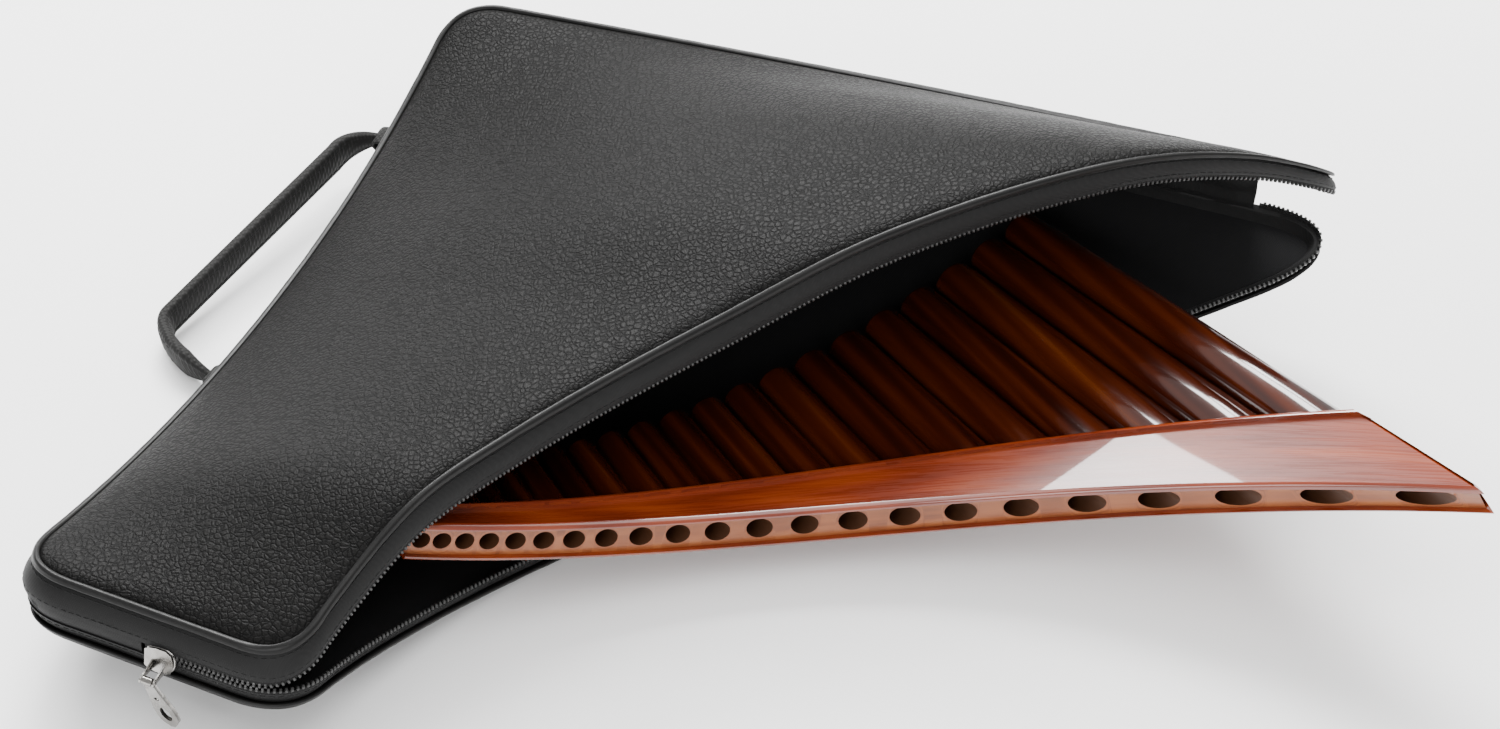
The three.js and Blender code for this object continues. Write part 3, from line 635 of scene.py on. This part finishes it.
cam_data = bpy.data.cameras.new("camera")
cam_data.sensor_width = SENSOR_WIDTH
cam_data.lens = LENS
camera = bpy.data.objects.new("camera", cam_data)
camera.location = CAMERA_AT
camera.rotation_euler = (math.radians(90 - CAMERA_DOWN), 0, 0)
bpy.context.scene.collection.objects.link(camera)
bpy.context.scene.camera = camera

corner_signs = ((-1, -1), (1, -1), (1, 1), (-1, 1))
floor_corners = [(x * FLOOR_HALF, y * FLOOR_HALF, FLOOR_LEVEL) for x, y in corner_signs]
floor = add_mesh("studio_floor", floor_corners, [(0, 1, 2, 3)], floor_material(), smooth=False)


def area_light(name, at, aim, size, power, colour=(1, 1, 1)):
    data = bpy.data.lights.new(name, "AREA")
    data.shape = "RECTANGLE"
    data.size, data.size_y = size
    data.energy = power
    data.color = colour
    obj = bpy.data.objects.new(name, data)
    obj.location = at
    obj.rotation_euler = (Vector(aim) - Vector(at)).to_track_quat("-Z", "Y").to_euler()
    bpy.context.scene.collection.objects.link(obj)


area_light("back_softbox", (-0.5, 1.35, 1.24), (0.05, 0.0, 0.03), (1.4, 0.5), 78.0)
area_light("crest_softbox", (-0.05, 0.94, 1.50), (0.05, 0.0, 0.03), (0.85, 0.55), 42.0)
area_light("top_softbox", (0.2, -0.1, 2.0), (0.0, 0.0, 0.0), (2.2, 1.8), 40.0)
area_light("front_fill", (-0.7, -1.7, 1.0), (0.0, 0.0, 0.05), (1.2, 0.8), 22.0)
area_light("right_strip", (1.3, 1.0, 0.45), (0.1, -0.05, 0.04), (0.3, 0.7), 10.0, (1.0, 0.97, 0.93))

world = bpy.data.worlds.new("studio")
world.use_nodes = True
bpy.context.scene.world = world
world.node_tree.nodes["Background"].inputs[0].default_value = (1, 1, 1, 1)
world.node_tree.nodes["Background"].inputs[1].default_value = WORLD_STRENGTH


# ---- flute
def by_pipe(first, last, i):
    """A size that grows evenly from the first pipe to the last."""
    return first + (last - first) * i / (PIPES - 1)


def pipe_ring(i, angles, inset, v):
    """One cross-section of a pipe as (s, v, n), pulled in by inset."""
    left = flute_across(i - 0.5, v) + PIPE_GAP + inset
    right = flute_across(i + 0.5, v) - PIPE_GAP - inset
    middle, half = (left + right) / 2, (right - left) / 2
    depth = by_pipe(PIPE_DEPTH_A, PIPE_DEPTH_B, i) / 2 - inset
    return middle + half * np.cos(angles), v + 0 * angles, depth * np.sin(angles)


def make_pipe(i):
    """A pipe's skin, from the rail up its outside, over the rounded mouth and down the bore."""
    angles = round_angles(40)
    seat = rail_edge(i + 0.5 * np.cos(angles)) - PIPE_SEAT
    rows = [pipe_ring(i, angles, 0.0, seat + (-MOUTH_DEPTH - seat) * q) for q in np.linspace(0, 1, 14)]
    for q in np.linspace(0, math.pi / 2, 5)[1:]:
        inset, v = MOUTH_ROUND * (1 - math.cos(q)), MOUTH_DEPTH * math.sin(q) - MOUTH_DEPTH
        rows.append(pipe_ring(i, angles, inset, v))
    rows.append(pipe_ring(i, angles, PIPE_WALL, 0.0))
    for v in (*BORE_LEVELS, seat + BORE_FLOOR):
        rows.append(pipe_ring(i, angles, PIPE_WALL + BORE_EASE, v))
    s, v, n = (np.stack([row[axis] for row in rows]) for axis in range(3))
    grain = np.stack([s, v, n], -1).reshape(-1, 3) / 1000 + GRAIN_STEP * i
    # a shade that wanders from pipe to pipe
    tone = np.full(len(grain), 0.05 * math.sin(2.3 * i + 0.6))
    obj = loft(f"pipe_skin_{i + 1:02d}", metres(flute_point(s, v, n)), PIPE_WOOD, close_u=True,
               attrs={"grain": grain, "tone": tone})
    auto_smooth(obj, 50)
    piece(obj, "flute", "lacquered_pipe", f"pipe_{i + 1:02d}")


for index in range(PIPES):
    make_pipe(index)
    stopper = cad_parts[f"stopper_{index + 1:02d}"]
    stopper.data.materials.clear()
    stopper.data.materials.append(CORK)


def rail_ring(i):
    """One cross-section of the rail as (v, n) points, corners rounded."""
    low, high = -pipe_length(i), rail_edge(i)
    half = by_pipe(RAIL_DEPTH_A, RAIL_DEPTH_B, i) / 2
    slant = math.hypot(1, length_slope(i))
    quarter = np.linspace(0, math.pi / 2, 6)
    ring = []
    for corner_v, corner_n, side_v, side_n in (
            (low, -half, 1, 1), (high, -half, -1, 1), (high, half, -1, -1), (low, half, 1, -1)):
        for a in (quarter if side_v == side_n else quarter[::-1]):
            dv, dn = RAIL_ROUND * slant * (1 - math.sin(a)), RAIL_ROUND * (1 - math.cos(a))
            ring.append((corner_v + side_v * dv, corner_n + side_n * dn))
    return np.array(ring)


def rail_end(i):
    """The rail's last cross-section, drawn in so that the end is bevelled."""
    ring = rail_ring(i)
    centre = ring.mean(0)
    return i, centre + (ring - centre) * RAIL_END_SHARE


def prism(verts, faces, low_ring, high_ring):
    """Add a closed prism between two rings to the lists of vertices and faces."""
    sides, start = len(low_ring), len(verts)
    verts += [*low_ring, *high_ring]
    for k in range(sides):
        k2 = (k + 1) % sides
        faces.append((start + k, start + k2, start + sides + k2, start + sides + k))
    faces.append(tuple(start + k for k in range(sides))[::-1])
    faces.append(tuple(start + sides + k for k in range(sides)))


def cut_away(obj, verts, faces, material, attrs=None):
    """Cut the closed solids out of the object; the cut faces take the material."""
    verts = np.array(verts)
    cutter = add_mesh(obj.name + "_cutter", verts, outward_faces(verts, faces), material,
                      attrs=attrs)
    cut = obj.modifiers.new("holes", "BOOLEAN")
    cut.object = cutter
    cut.operation = "DIFFERENCE"
    cut.solver = "EXACT"
    cut.material_mode = "TRANSFER"
    apply_modifiers(obj)
    bpy.data.objects.remove(cutter)


def make_rail():
    """The curved rail, with a hole for every pipe and a duller wood on the face that the holes open in."""
    stations = np.linspace(RAIL_FIRST + 0.1, RAIL_LAST - 0.05, 150)
    pts, grain = [], []
    for i, ring in [rail_end(RAIL_FIRST), *((i, rail_ring(i)) for i in stations), rail_end(RAIL_LAST)]:
        v, n = ring[:, 0], ring[:, 1]
        s = flute_across(i, v)
        pts.append(metres(flute_point(s, v, n)))
        grain.append(np.stack([s, v + pipe_length(i), n], -1) / 1000)
    grain = np.concatenate(grain)
    obj = loft("rail_body", np.stack(pts), RAIL_WOOD, attrs={"grain": grain, "tone": np.zeros(len(grain))})

    angles = round_angles(40)[:, None]
    verts, faces = [], []
    for i in range(PIPES):
        low, high = -pipe_length(i) - HOLE_PAST, rail_edge(i) + HOLE_PAST
        radius = by_pipe(HOLE_A, HOLE_B, i) / 2
        a = flute_point(flute_across(i, low), low, 0.0)
        b = flute_point(flute_across(i, high), high, 0.0)
        axis = (b - a) / np.linalg.norm(b - a)
        side = np.cross(axis, UP)
        side /= np.linalg.norm(side)
        ring = radius * (np.cos(angles) * side + np.sin(angles) * np.cross(axis, side))
        prism(verts, faces, metres(a + ring), metres(b + ring))
    cut_away(obj, verts, faces, BORE_WOOD, {"grain": np.array(verts), "tone": np.zeros(len(verts))})

    obj.data.materials.append(RAIL_FACE)
    slots = list(obj.data.materials)
    face_slot, wood_slot = slots.index(RAIL_FACE), slots.index(RAIL_WOOD)
    outward = FLUTE_TURN @ np.array([0, -1, 0])
    for poly in obj.data.polygons:
        if poly.material_index == wood_slot and np.dot(np.array(poly.normal), outward) > RAIL_FACING:
            poly.material_index = face_slot
    auto_smooth(obj, 38)
    piece(obj, "flute", "lacquered_rail", "bottom_rail")


make_rail()


# ---- case: panels
def make_panel(name, low, high, lifted, body, cad):
    """Foam panel with a leatherette face and a cloth lining, crowned and pulled in at the piping seam."""
    edge = OUT + INWARD * PANEL_INSET
    fractions = 1 - np.concatenate([np.linspace(0, 0.10, 12), np.linspace(0.12, 0.985, 46)])
    p = PANEL_MIDDLE + fractions[:, None, None] * (edge - PANEL_MIDDLE)
    s, v = p[..., 0], p[..., 1]
    # distance in from the edge, square to it
    spoke = PANEL_MIDDLE - edge
    depth = np.linalg.norm(p - edge, axis=-1) * np.abs(
        (spoke * INWARD).sum(-1) / np.linalg.norm(spoke, axis=-1))
    outer, inner = (high, low) if lifted else (low, high)
    sign = 1.0 if lifted else -1.0
    soft = smooth_noise(p, 120.0, 3, 2) * np.clip(depth / 30, 0, 1)
    rise = 1 - np.exp(-depth / 4.0)
    crown = -SEAM_DIP * np.exp(-depth / 2.4) + (0.75 * rise + 0.45 * soft if lifted else 0.0)
    creases = smooth_noise(np.stack([s * 0.35, v], -1), 34.0, 11, 3) * np.clip(depth / 12, 0, 1)
    lining = (0.5 * creases - LINING_DIP * np.exp(-depth / 2.0)) * (1.0 if lifted else 0.4)
    lift = lid_lift(s, v) if lifted else 0.0
    top = case_point(s, v, outer + sign * crown, lift)
    under = case_point(s, v, inner - sign * lining, lift)
    if not lifted:
        top[..., 2] = np.maximum(top[..., 2], FOOT_LEVEL)
    verts = metres(np.concatenate([
        top.reshape(-1, 3), under.reshape(-1, 3), top[-1].mean(0)[None], under[-1].mean(0)[None]]))

    # rings of the face, rings of the lining, a hub in the middle of each, and the rim between them
    rings = len(fractions)
    start = rings * COUNT
    last = start - COUNT
    hub = 2 * start
    faces = [tuple(f) for f in grid_faces(rings, COUNT, False, True)]
    faces += [tuple(f) for f in grid_faces(rings, COUNT, False, True, flip=True, start=start)]
    for k in range(COUNT):
        k2 = (k + 1) % COUNT
        faces.append((last + k, hub, last + k2))
        faces.append((start + last + k, start + last + k2, hub + 1))
        faces.append((k, k2, start + k2, start + k))
    obj = add_mesh(name, verts, faces, LEATHER)
    obj.data.materials.append(LINING)
    bm = bmesh.new()
    bm.from_mesh(obj.data)
    bmesh.ops.recalc_face_normals(bm, faces=bm.faces)
    for f in bm.faces:
        if all(v.index >= start and v.index != hub for v in f.verts):
            f.material_index = 1
    bm.to_mesh(obj.data)
    bm.free()
    auto_smooth(obj, 60)
    piece(obj, body, "leatherette", cad)


make_panel("lid_pad", LID_WALL_TOP + 0.6, LID_TOP - 0.2, True, "lid", "lid_panel")
make_panel("base_pad", 0.0, BASE_PANEL_TOP, False, "case_base", "base_panel")


# ---- case: walls, piping, zip
def run_noise(k, scale, seed, octaves):
    """Smooth waves along the outline's points k, as a column."""
    return smooth_noise(np.stack([RUN[k], 0 * RUN[k]], -1), scale, seed, octaves)[:, None]


def wall(name, low, high, lifted, body, cad, bow):
    """A strip of cloth standing round the case, a little bellied, hemmed at both edges."""
    levels = np.linspace(0, 1, 9)
    swell = np.sin(math.pi * levels)
    level = low + (high - low) * levels
    ring_n = np.concatenate([level, level[::-1]])
    ring_in = np.concatenate([WALL_FACE - bow * swell ** 0.7, WALL_BACK + 0 * levels])
    wave = 0.25 * run_noise(ALL, 55.0, 5, 3) * np.concatenate([swell, 0.6 * swell])
    obj = loft(name, metres(edge_point(ALL[:, None], ring_in + wave, ring_n, lifted)), NYLON, close_u=True)
    auto_smooth(obj, 55)
    piece(obj, body, "gusset_cloth", cad)


def piping(name, level, lifted, body, cad):
    """The cord round a panel's seam, flat where the case would stand on it."""
    angles = round_angles(14)
    r = PIPING_R * (1 + 0.05 * run_noise(ALL, 16.0, 9, 2))
    pts = edge_point(ALL[:, None], PIPING_INSET - r * np.cos(angles), level + r * np.sin(angles), lifted)
    pts[..., 2] = np.maximum(pts[..., 2], FOOT_LEVEL)
    piece(loft(name, metres(pts), VINYL, close_u=True), body, "piping_cord", cad)


ALL = np.arange(COUNT)
ZIP_RUN = run_index("zip")
HINGE_RUN = run_index("hinge")

wall("lid_side_cloth", LID_ZIP_TOP + 0.1, LID_WALL_TOP + 1.2, True, "lid", "lid_wall", bow=0.5)
wall("base_side_cloth", BASE_PANEL_TOP - 1.6, BASE_WALL_TOP + 0.2, False, "case_base", "base_wall", bow=0.2)
piping("lid_piping_cord", LID_SEAM + 0.5, True, "lid", "lid_piping")
piping("base_piping_cord", BASE_SEAM, False, "case_base", "base_piping")


def tape(name, low, high, lifted, body, cad):
    """One half of the zip's tape, standing along the opening."""
    levels = np.linspace(low, high, 5)
    ring_n = np.concatenate([levels, levels[::-1]])
    ring_in = np.repeat([TAPE_FACE, TAPE_BACK], len(levels))
    obj = loft(name, metres(edge_point(ZIP_RUN[:, None], ring_in, ring_n, lifted)), TAPE)
    auto_smooth(obj, 50)
    piece(obj, body, "zip_coil", cad)


tape("base_zip_tape", BASE_WALL_TOP - 0.6, BASE_ZIP_TOP - 1.3, False, "case_base", "base_zip")
tape("lid_zip_tape", BASE_ZIP_TOP + 1.6, LID_ZIP_TOP + 0.9, True, "lid", "lid_zip")

# the outline's points and inward directions, back to the first one
RUN_TOTAL = RUN[-1] + np.linalg.norm(OUT[0] - OUT[-1])
RUN_CLOSED = np.append(RUN, RUN_TOTAL)
TRACK = np.hstack([OUT, INWARD])[[*range(COUNT), 0]]


def place_along(run_positions, inset, level, lifted):
    """Position and local directions at distances along the outline, in mm."""
    def at(d, ins, lev):
        s, v, in_s, in_v = (np.interp(d % RUN_TOTAL, RUN_CLOSED, column) for column in TRACK.T)
        depth = ins - belly(v, lev)
        s2, v2 = s + in_s * depth, v + in_v * depth
        return case_point(s2, v2, lev, lid_lift(s2, v2) if lifted else 0.0)

    p = at(run_positions, inset, level)
    along = at(run_positions + 0.5, inset, level) - at(run_positions - 0.5, inset, level)
    inner = at(run_positions, inset + 0.5, level) - at(run_positions, inset - 0.5, level)
    along /= np.linalg.norm(along, axis=-1)[:, None]
    inner -= (inner * along).sum(-1)[:, None] * along
    inner /= np.linalg.norm(inner, axis=-1)[:, None]
    up = np.cross(along, inner)
    up *= np.sign(up[:, 2])[:, None]
    return p, along, inner, up


def bead_faces(sides):
    """Faces of one bead: four rings and two ends."""
    faces = [tuple(f) for f in grid_faces(4, sides, False, True)]
    return faces + [tuple(range(sides))[::-1], tuple(range(3 * sides, 4 * sides))]


def beads(name, positions, inset, level, lifted, size, material, body, slot):
    """Many small rounded blocks in a row: zip teeth or stitches. size is (along, in, up)."""
    p, along, inner, up = place_along(positions, inset, level, lifted)
    profile = [(-0.5, 0.55), (-0.32, 0.95), (0.32, 0.95), (0.5, 0.55)]
    around = round_angles(8) + math.pi / 8
    local = np.array([[x, w * math.cos(a) / 2, w * math.sin(a) / 2] for x, w in profile for a in around])
    basis = np.stack([along, inner, up], 1)
    verts = p[:, None, :] + np.einsum("kc,pcd->pkd", local * np.array(size), basis)
    one = bead_faces(8)
    if np.linalg.det(basis[0]) > 0:
        one = [f[::-1] for f in one]
    faces = [tuple(q * len(local) + i for i in f) for q in range(len(p)) for f in one]
    obj = add_mesh(name, metres(verts.reshape(-1, 3)), faces, material)
    auto_smooth(obj, 45)
    piece(obj, body, slot)


zip_from, zip_to = RUN[ZIP_RUN[0]], RUN[ZIP_RUN[-1]]
if zip_to < zip_from:
    zip_to += RUN_TOTAL
teeth_at = np.arange(zip_from + 3, zip_to - 2, TOOTH_PITCH)
for name, along_zip, level, lifted, body in (
        ("base_zip_teeth", teeth_at, BASE_ZIP_TOP - 0.9, False, "case_base"),
        ("lid_zip_teeth", teeth_at + TOOTH_PITCH / 2, BASE_ZIP_TOP + 1.3, True, "lid")):
    beads(name, along_zip, TOOTH_INSET, level, lifted, TOOTH_SIZE, TEETH, body, "zip_coil")
stitch_at = np.arange(0, RUN_TOTAL - 1, STITCH_PITCH)
for name, inset, level, lifted, body in (
        ("lid_stitch_low", 1.15, LID_ZIP_TOP + 2.0, True, "lid"),
        ("lid_stitch_high", 1.1, LID_WALL_TOP - 1.0, True, "lid"),
        ("base_stitch", 1.25, BASE_WALL_TOP - 1.0, False, "case_base")):
    beads(name, stitch_at, inset, level, lifted, STITCH_SIZE, THREAD, body, "gusset_cloth")


# ---- hinge cloth between base and lid
def hinge_strips():
    """The cloth between base and lid, in short overlapping strips that rise with the lid's lift."""
    count = int(math.ceil(len(HINGE_RUN) / STRIP_POINTS))
    edges = np.linspace(0, len(HINGE_RUN) - 1, count + 1).astype(int)
    levels = np.linspace(0, 1, 11)
    low, high = BASE_WALL_TOP - 0.6, LID_ZIP_TOP + 1.4
    for q in range(count):
        k = HINGE_RUN[max(0, edges[q] - 1):edges[q + 1] + 2]
        lift = lid_lift(OUT[k, 0], OUT[k, 1])[:, None]
        # folds and pleats grow with the gap that the cloth has to span
        grow = np.clip(lift / 20, 0, 1)
        pleat = 1.6 + 1.4 * run_noise(k, 24.0, 21, 2)
        rings = []
        for order, inset in ((levels, CLOTH_FACE), (levels[::-1], CLOTH_BACK)):
            fold = 0.9 * np.sin(order * 4 * math.pi)
            depth = inset + grow * (fold + pleat * np.sin(math.pi * order))
            p = edge_point(k[:, None], depth, low + (high - low) * order, False)
            p[..., 2] += lift * order
            rings.append(p)
        obj = loft(f"hinge_cloth_{q + 1:02d}", metres(np.concatenate(rings, 1)), NYLON)
        auto_smooth(obj, 60)
        mid = k[len(k) // 2]
        start = edge_point(mid, CLOTH_MIDDLE, low + 0.8, False)
        end = edge_point(mid, CLOTH_MIDDLE, high - 1.0, False)
        end[2] += lid_lift(OUT[mid, 0], OUT[mid, 1])
        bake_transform(obj)
        if q == 0:
            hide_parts("hinge_gusset")


hinge_strips()


# ---- carrying handle
def handle_reach(q):
    """How far the strap stands out, as a share of its reach, at q from its front end to its rear end."""
    rise = np.minimum(1, q / 0.14)
    fall = np.minimum(1, (1 - q) / 0.12)
    slope = 1 + (HANDLE_REACH_REAR - 1) * np.clip((q - 0.14) / 0.74, 0, 1)
    return slope * (1 - (1 - rise) ** 2) ** 0.7 * (1 - (1 - fall) ** 2) ** 0.7


def anchor_frame(s):
    """The directions along and up the side wall at s, and the point on it."""
    t = s / CASE_R
    along = ALONG * math.cos(t) + UP * math.sin(t)
    up = -ALONG * math.sin(t) + UP * math.cos(t)
    return along, up, case_point(s, 0.0, HANDLE_LEVEL)


def make_handle():
    """The webbing strap, a flat band with rolled edges and two stitched channels."""
    front = anchor_frame(HANDLE_FRONT)[2] + ACROSS * HANDLE_START
    rear = anchor_frame(HANDLE_REAR)[2] + ACROSS * HANDLE_START
    span = rear - front
    lift = np.cross(span / np.linalg.norm(span), ACROSS)
    lift /= np.linalg.norm(lift)
    q = 0.5 - 0.5 * np.cos(np.linspace(0, math.pi, 121))
    path = front + q[:, None] * span + (HANDLE_REACH * handle_reach(q))[:, None] * ACROSS
    tangent = np.gradient(path, axis=0)
    tangent /= np.linalg.norm(tangent, axis=1)[:, None]
    side = np.cross(tangent, lift)
    side /= np.linalg.norm(side, axis=1)[:, None]
    # both ends taper where they pass through the loops
    share = np.clip((path - front) @ ACROSS / 14, 0, 1)
    width = HANDLE_END_WIDTH + (HANDLE_WIDTH - HANDLE_END_WIDTH) * share
    thick = HANDLE_END_THICK + (HANDLE_THICK - HANDLE_END_THICK) * share
    a = round_angles(36)
    across = np.sign(np.cos(a)) * np.abs(np.cos(a)) ** 0.75 * 0.5
    high = np.sign(np.sin(a)) * np.abs(np.sin(a)) ** 0.55 * 0.5
    across *= 1 - 0.16 * np.exp(-((np.abs(high) - STITCH_ROW) / 0.045) ** 2)
    pts = path[:, None] + side[:, None] * (thick[:, None] * across)[..., None] \
        + lift * (width[:, None] * high)[..., None]
    obj = loft("handle_band", metres(pts), WEBBING)
    auto_smooth(obj, 60)
    piece(obj, "handle", "webbing", "handle_strap")

    run = run_along(path)
    profile = [(-0.5, 0.5), (-0.3, 1.0), (0.3, 1.0), (0.5, 0.5)]
    angles = round_angles(6)
    verts, faces = [], []
    for d in np.arange(24, run[-1] - 20, HANDLE_STITCH_PITCH):
        centre = np.array([np.interp(d, run, path[:, m]) for m in range(3)])
        ahead = np.array([np.interp(d, run, tangent[:, m]) for m in range(3)])
        out = np.cross(ahead, lift)
        for face in (-1, 1):
            for row in (-STITCH_ROW, STITCH_ROW):
                base = centre + lift * (row * np.interp(d, run, width)) \
                    + out * (face * 0.42 * np.interp(d, run, thick))
                start = len(verts)
                for x, r in profile:
                    ring = HANDLE_STITCH_R * r
                    for a in angles:
                        verts.append(metres(base + ahead * (x * HANDLE_STITCH_LENGTH)
                                            + lift * (ring * math.cos(a)) + out * (ring * math.sin(a))))
                faces += [tuple(start + i for i in f) for f in bead_faces(6)]
    stitch = add_mesh("handle_stitches", verts, outward_faces(verts, faces), THREAD)
    piece(stitch, "handle", "webbing")


def make_anchor(name, s, cad):
    """A folded webbing tab sewn flat to the side wall, with a loop that the strap's end passes through."""
    along, up, centre = anchor_frame(s)
    n = 17
    grid = np.linspace(-1, 1, n)
    verts = []
    for stand, raised in ((TAB_BACK, 0.0), (TAB_FACE, 1.0)):
        for x in grid:
            for y in grid:
                soft = (1 - abs(x) ** 8) * (1 - abs(y) ** 8)
                seam = math.exp(-((abs(x) - 0.72) / 0.05) ** 2) + math.exp(-((abs(y) - 0.7) / 0.06) ** 2)
                out = stand + raised * (0.5 * soft - 0.35 * seam)
                verts.append(centre + along * (x * TAB_HALF) + up * (y * TAB_HALF_HEIGHT) + ACROSS * out)
    faces = [tuple(f) for f in (*grid_faces(n, n), *grid_faces(n, n, flip=True, start=n * n))]
    rim = [*range(n), *(k * n + n - 1 for k in range(1, n)),
           *((n - 1) * n + k for k in range(n - 2, -1, -1)), *(k * n for k in range(n - 2, 0, -1))]
    for a, b in zip(rim, rim[1:] + rim[:1]):
        faces.append((n * n + a, n * n + b, b, a))
    verts = metres(verts)
    obj = add_mesh(name, verts, outward_faces(verts, faces), WEBBING)
    auto_smooth(obj, 50)
    piece(obj, "case_base", "webbing", cad)

    rings = []
    for a in np.linspace(0, math.pi, 15):
        out = LOOP_START + LOOP_REACH * math.sin(a)
        core = centre + ACROSS * out - up * (LOOP_HALF_HEIGHT * math.cos(a))
        radial = ACROSS * math.sin(a) - up * math.cos(a)
        rings.append([core + radial * (0.8 * math.cos(r))
                      + along * (LOOP_HALF * math.copysign(abs(math.sin(r)) ** 0.5, math.sin(r)))
                      for r in round_angles(10)])
    piece(loft(name + "_loop", metres(rings), WEBBING), "case_base", "webbing")


make_handle()
make_anchor("handle_tab_front", HANDLE_FRONT, "handle_anchor_front")
make_anchor("handle_tab_rear", HANDLE_REAR, "handle_anchor_rear")


# ---- zip slider and pull
def bevelled(obj, width):
    """Round the object's sharp edges over; width is in mm."""
    mod = obj.modifiers.new("bevel", "BEVEL")
    mod.width = width / 1000
    mod.segments = 3
    mod.limit_method = "ANGLE"
    mod.angle_limit = math.radians(30)
    apply_modifiers(obj)
    auto_smooth(obj, 40)


def plate(name, outline, low, high, place):
    """A flat plate with the given outline, between two heights along its own normal."""
    rings = metres([[place(x, y, z) for x, y in outline] for z in (low, high)])
    return loft(name, rings, NICKEL, smooth=False)


END_TURN = -CASE_W / 2 / CASE_R
END_OUT = -ALONG * math.cos(END_TURN) - UP * math.sin(END_TURN)
END_UP = -ALONG * math.sin(END_TURN) + UP * math.cos(END_TURN)
SLIDER_LEVEL = BASE_ZIP_TOP - 2.8
SLIDER_CENTRE = (case_point(-CASE_W / 2, -SLIDER_AT, SLIDER_LEVEL)
                 + END_OUT * float(belly(-SLIDER_AT, SLIDER_LEVEL)))
PULL_PIVOT = SLIDER_CENTRE - ALONG * PULL_STAND_OFF


def about_pin(x, r, a):
    """A point at radius r and angle a about the pull's pin, x along it."""
    return PULL_PIVOT + ACROSS * x + r * (UP * math.cos(a) - ALONG * math.sin(a))


def make_slider():
    """The slider's plate, and two lugs that hold the pull's pin between them."""
    def place(x, y, z):
        return SLIDER_CENTRE + ACROSS * x + END_UP * (y + 1.6) + END_OUT * z

    half = [(-5.4, 1.2), (-4.6, 3.4), (-2.6, 4.6), (1.2, 4.6), (4.2, 4.0), (5.6, 3.2)]
    outline = [(x, -y) for x, y in half] + half[::-1]
    body = plate("slider_plate", outline, -0.5, 1.3, place)
    bevelled(body, 0.45)
    piece(body, "slider", "zip_metal", "zip_slider")

    # distance out from the slider and half height of a lug's cross-sections, and the section's own outline
    stations = ((0.6, 2.0), (2.0, 1.9), (4.6, 1.35), (7.4, 1.2), (8.6, 1.2), (9.4, 0.95), (9.8, 0.45))
    section = ((-1, -0.8), (-0.7, -1), (0.7, -1), (1, -0.8), (1, 0.8), (0.7, 1), (-0.7, 1), (-1, 0.8))
    for side, word in ((-1, "left"), (1, "right")):
        rings = []
        for reach, tall in stations:
            core = SLIDER_CENTRE - ALONG * reach + ACROSS * (LUG_APART * side)
            rings.append([core + ACROSS * (LUG_HALF * x) + END_UP * (tall * y) for x, y in section])
        lug = loft(f"slider_lug_{word}", metres(rings), NICKEL)
        auto_smooth(lug, 40)
        piece(lug, "slider", "zip_metal")
    profile = ((-3.3, 0.45), (-3.15, 0.62), (3.15, 0.62), (3.3, 0.45))
    rings = [[about_pin(x, r, a) for a in round_angles(20)] for x, r in profile]
    pin = loft("slider_pin", metres(rings), NICKEL)
    auto_smooth(pin, 40)
    piece(pin, "slider", "zip_metal")


def make_pull():
    """The hanging pull: a leaf-shaped blade with two holes, and a barrel round the pin."""
    lean = math.radians(PULL_LEAN)
    x_axis = ACROSS * math.cos(lean) - UP * math.sin(lean)
    y_axis = UP * math.cos(lean) + ACROSS * math.sin(lean)

    def place(x, y, z):
        return PULL_PIVOT + x_axis * x + y_axis * y - ALONG * z

    t = np.linspace(0, 1, 40)
    level = -0.6 - (PULL_LENGTH - 1.4) * t
    half = np.interp(t, [0, .04, .10, .2, .38, .55, .75, .88, .95, 1.0],
                     [1.9, 1.9, 2.0, 2.3, 3.1, 4.1, 4.3, 3.7, 2.3, .3])
    half = np.convolve(np.pad(half, 2, mode="edge"), np.ones(5) / 5, "valid")
    outline = [*zip(half, level), *zip(-half[::-1], level[::-1])]
    body = plate("pull_blade", outline, -0.75, 0.75, place)
    verts, faces = [], []
    # the holes: centre along the blade and half width and height
    for y, rx, ry in ((-9.0, 1.2, 1.2), (-PULL_LENGTH + 7.6, 2.2, 3.6)):
        low, high = ([metres(place(rx * math.cos(a), y + ry * math.sin(a), z)) for a in round_angles(28)]
                     for z in (-3, 3))
        prism(verts, faces, low, high)
    cut_away(body, verts, faces, NICKEL)
    bevelled(body, 0.3)
    piece(body, "pull", "zip_metal", "zip_pull")
    section = ((-2.0, 0.85), (-1.9, 0.72), (1.9, 0.72), (2.0, 0.85),
               (2.0, 1.3), (1.8, 1.5), (-1.8, 1.5), (-2.0, 1.3))
    rings = [[about_pin(x, r, a) for x, r in section] for a in round_angles(28)]
    barrel = loft("pull_barrel", metres(rings), NICKEL, close_u=True)
    auto_smooth(barrel, 40)
    piece(barrel, "pull", "zip_metal")


make_slider()
make_pull()
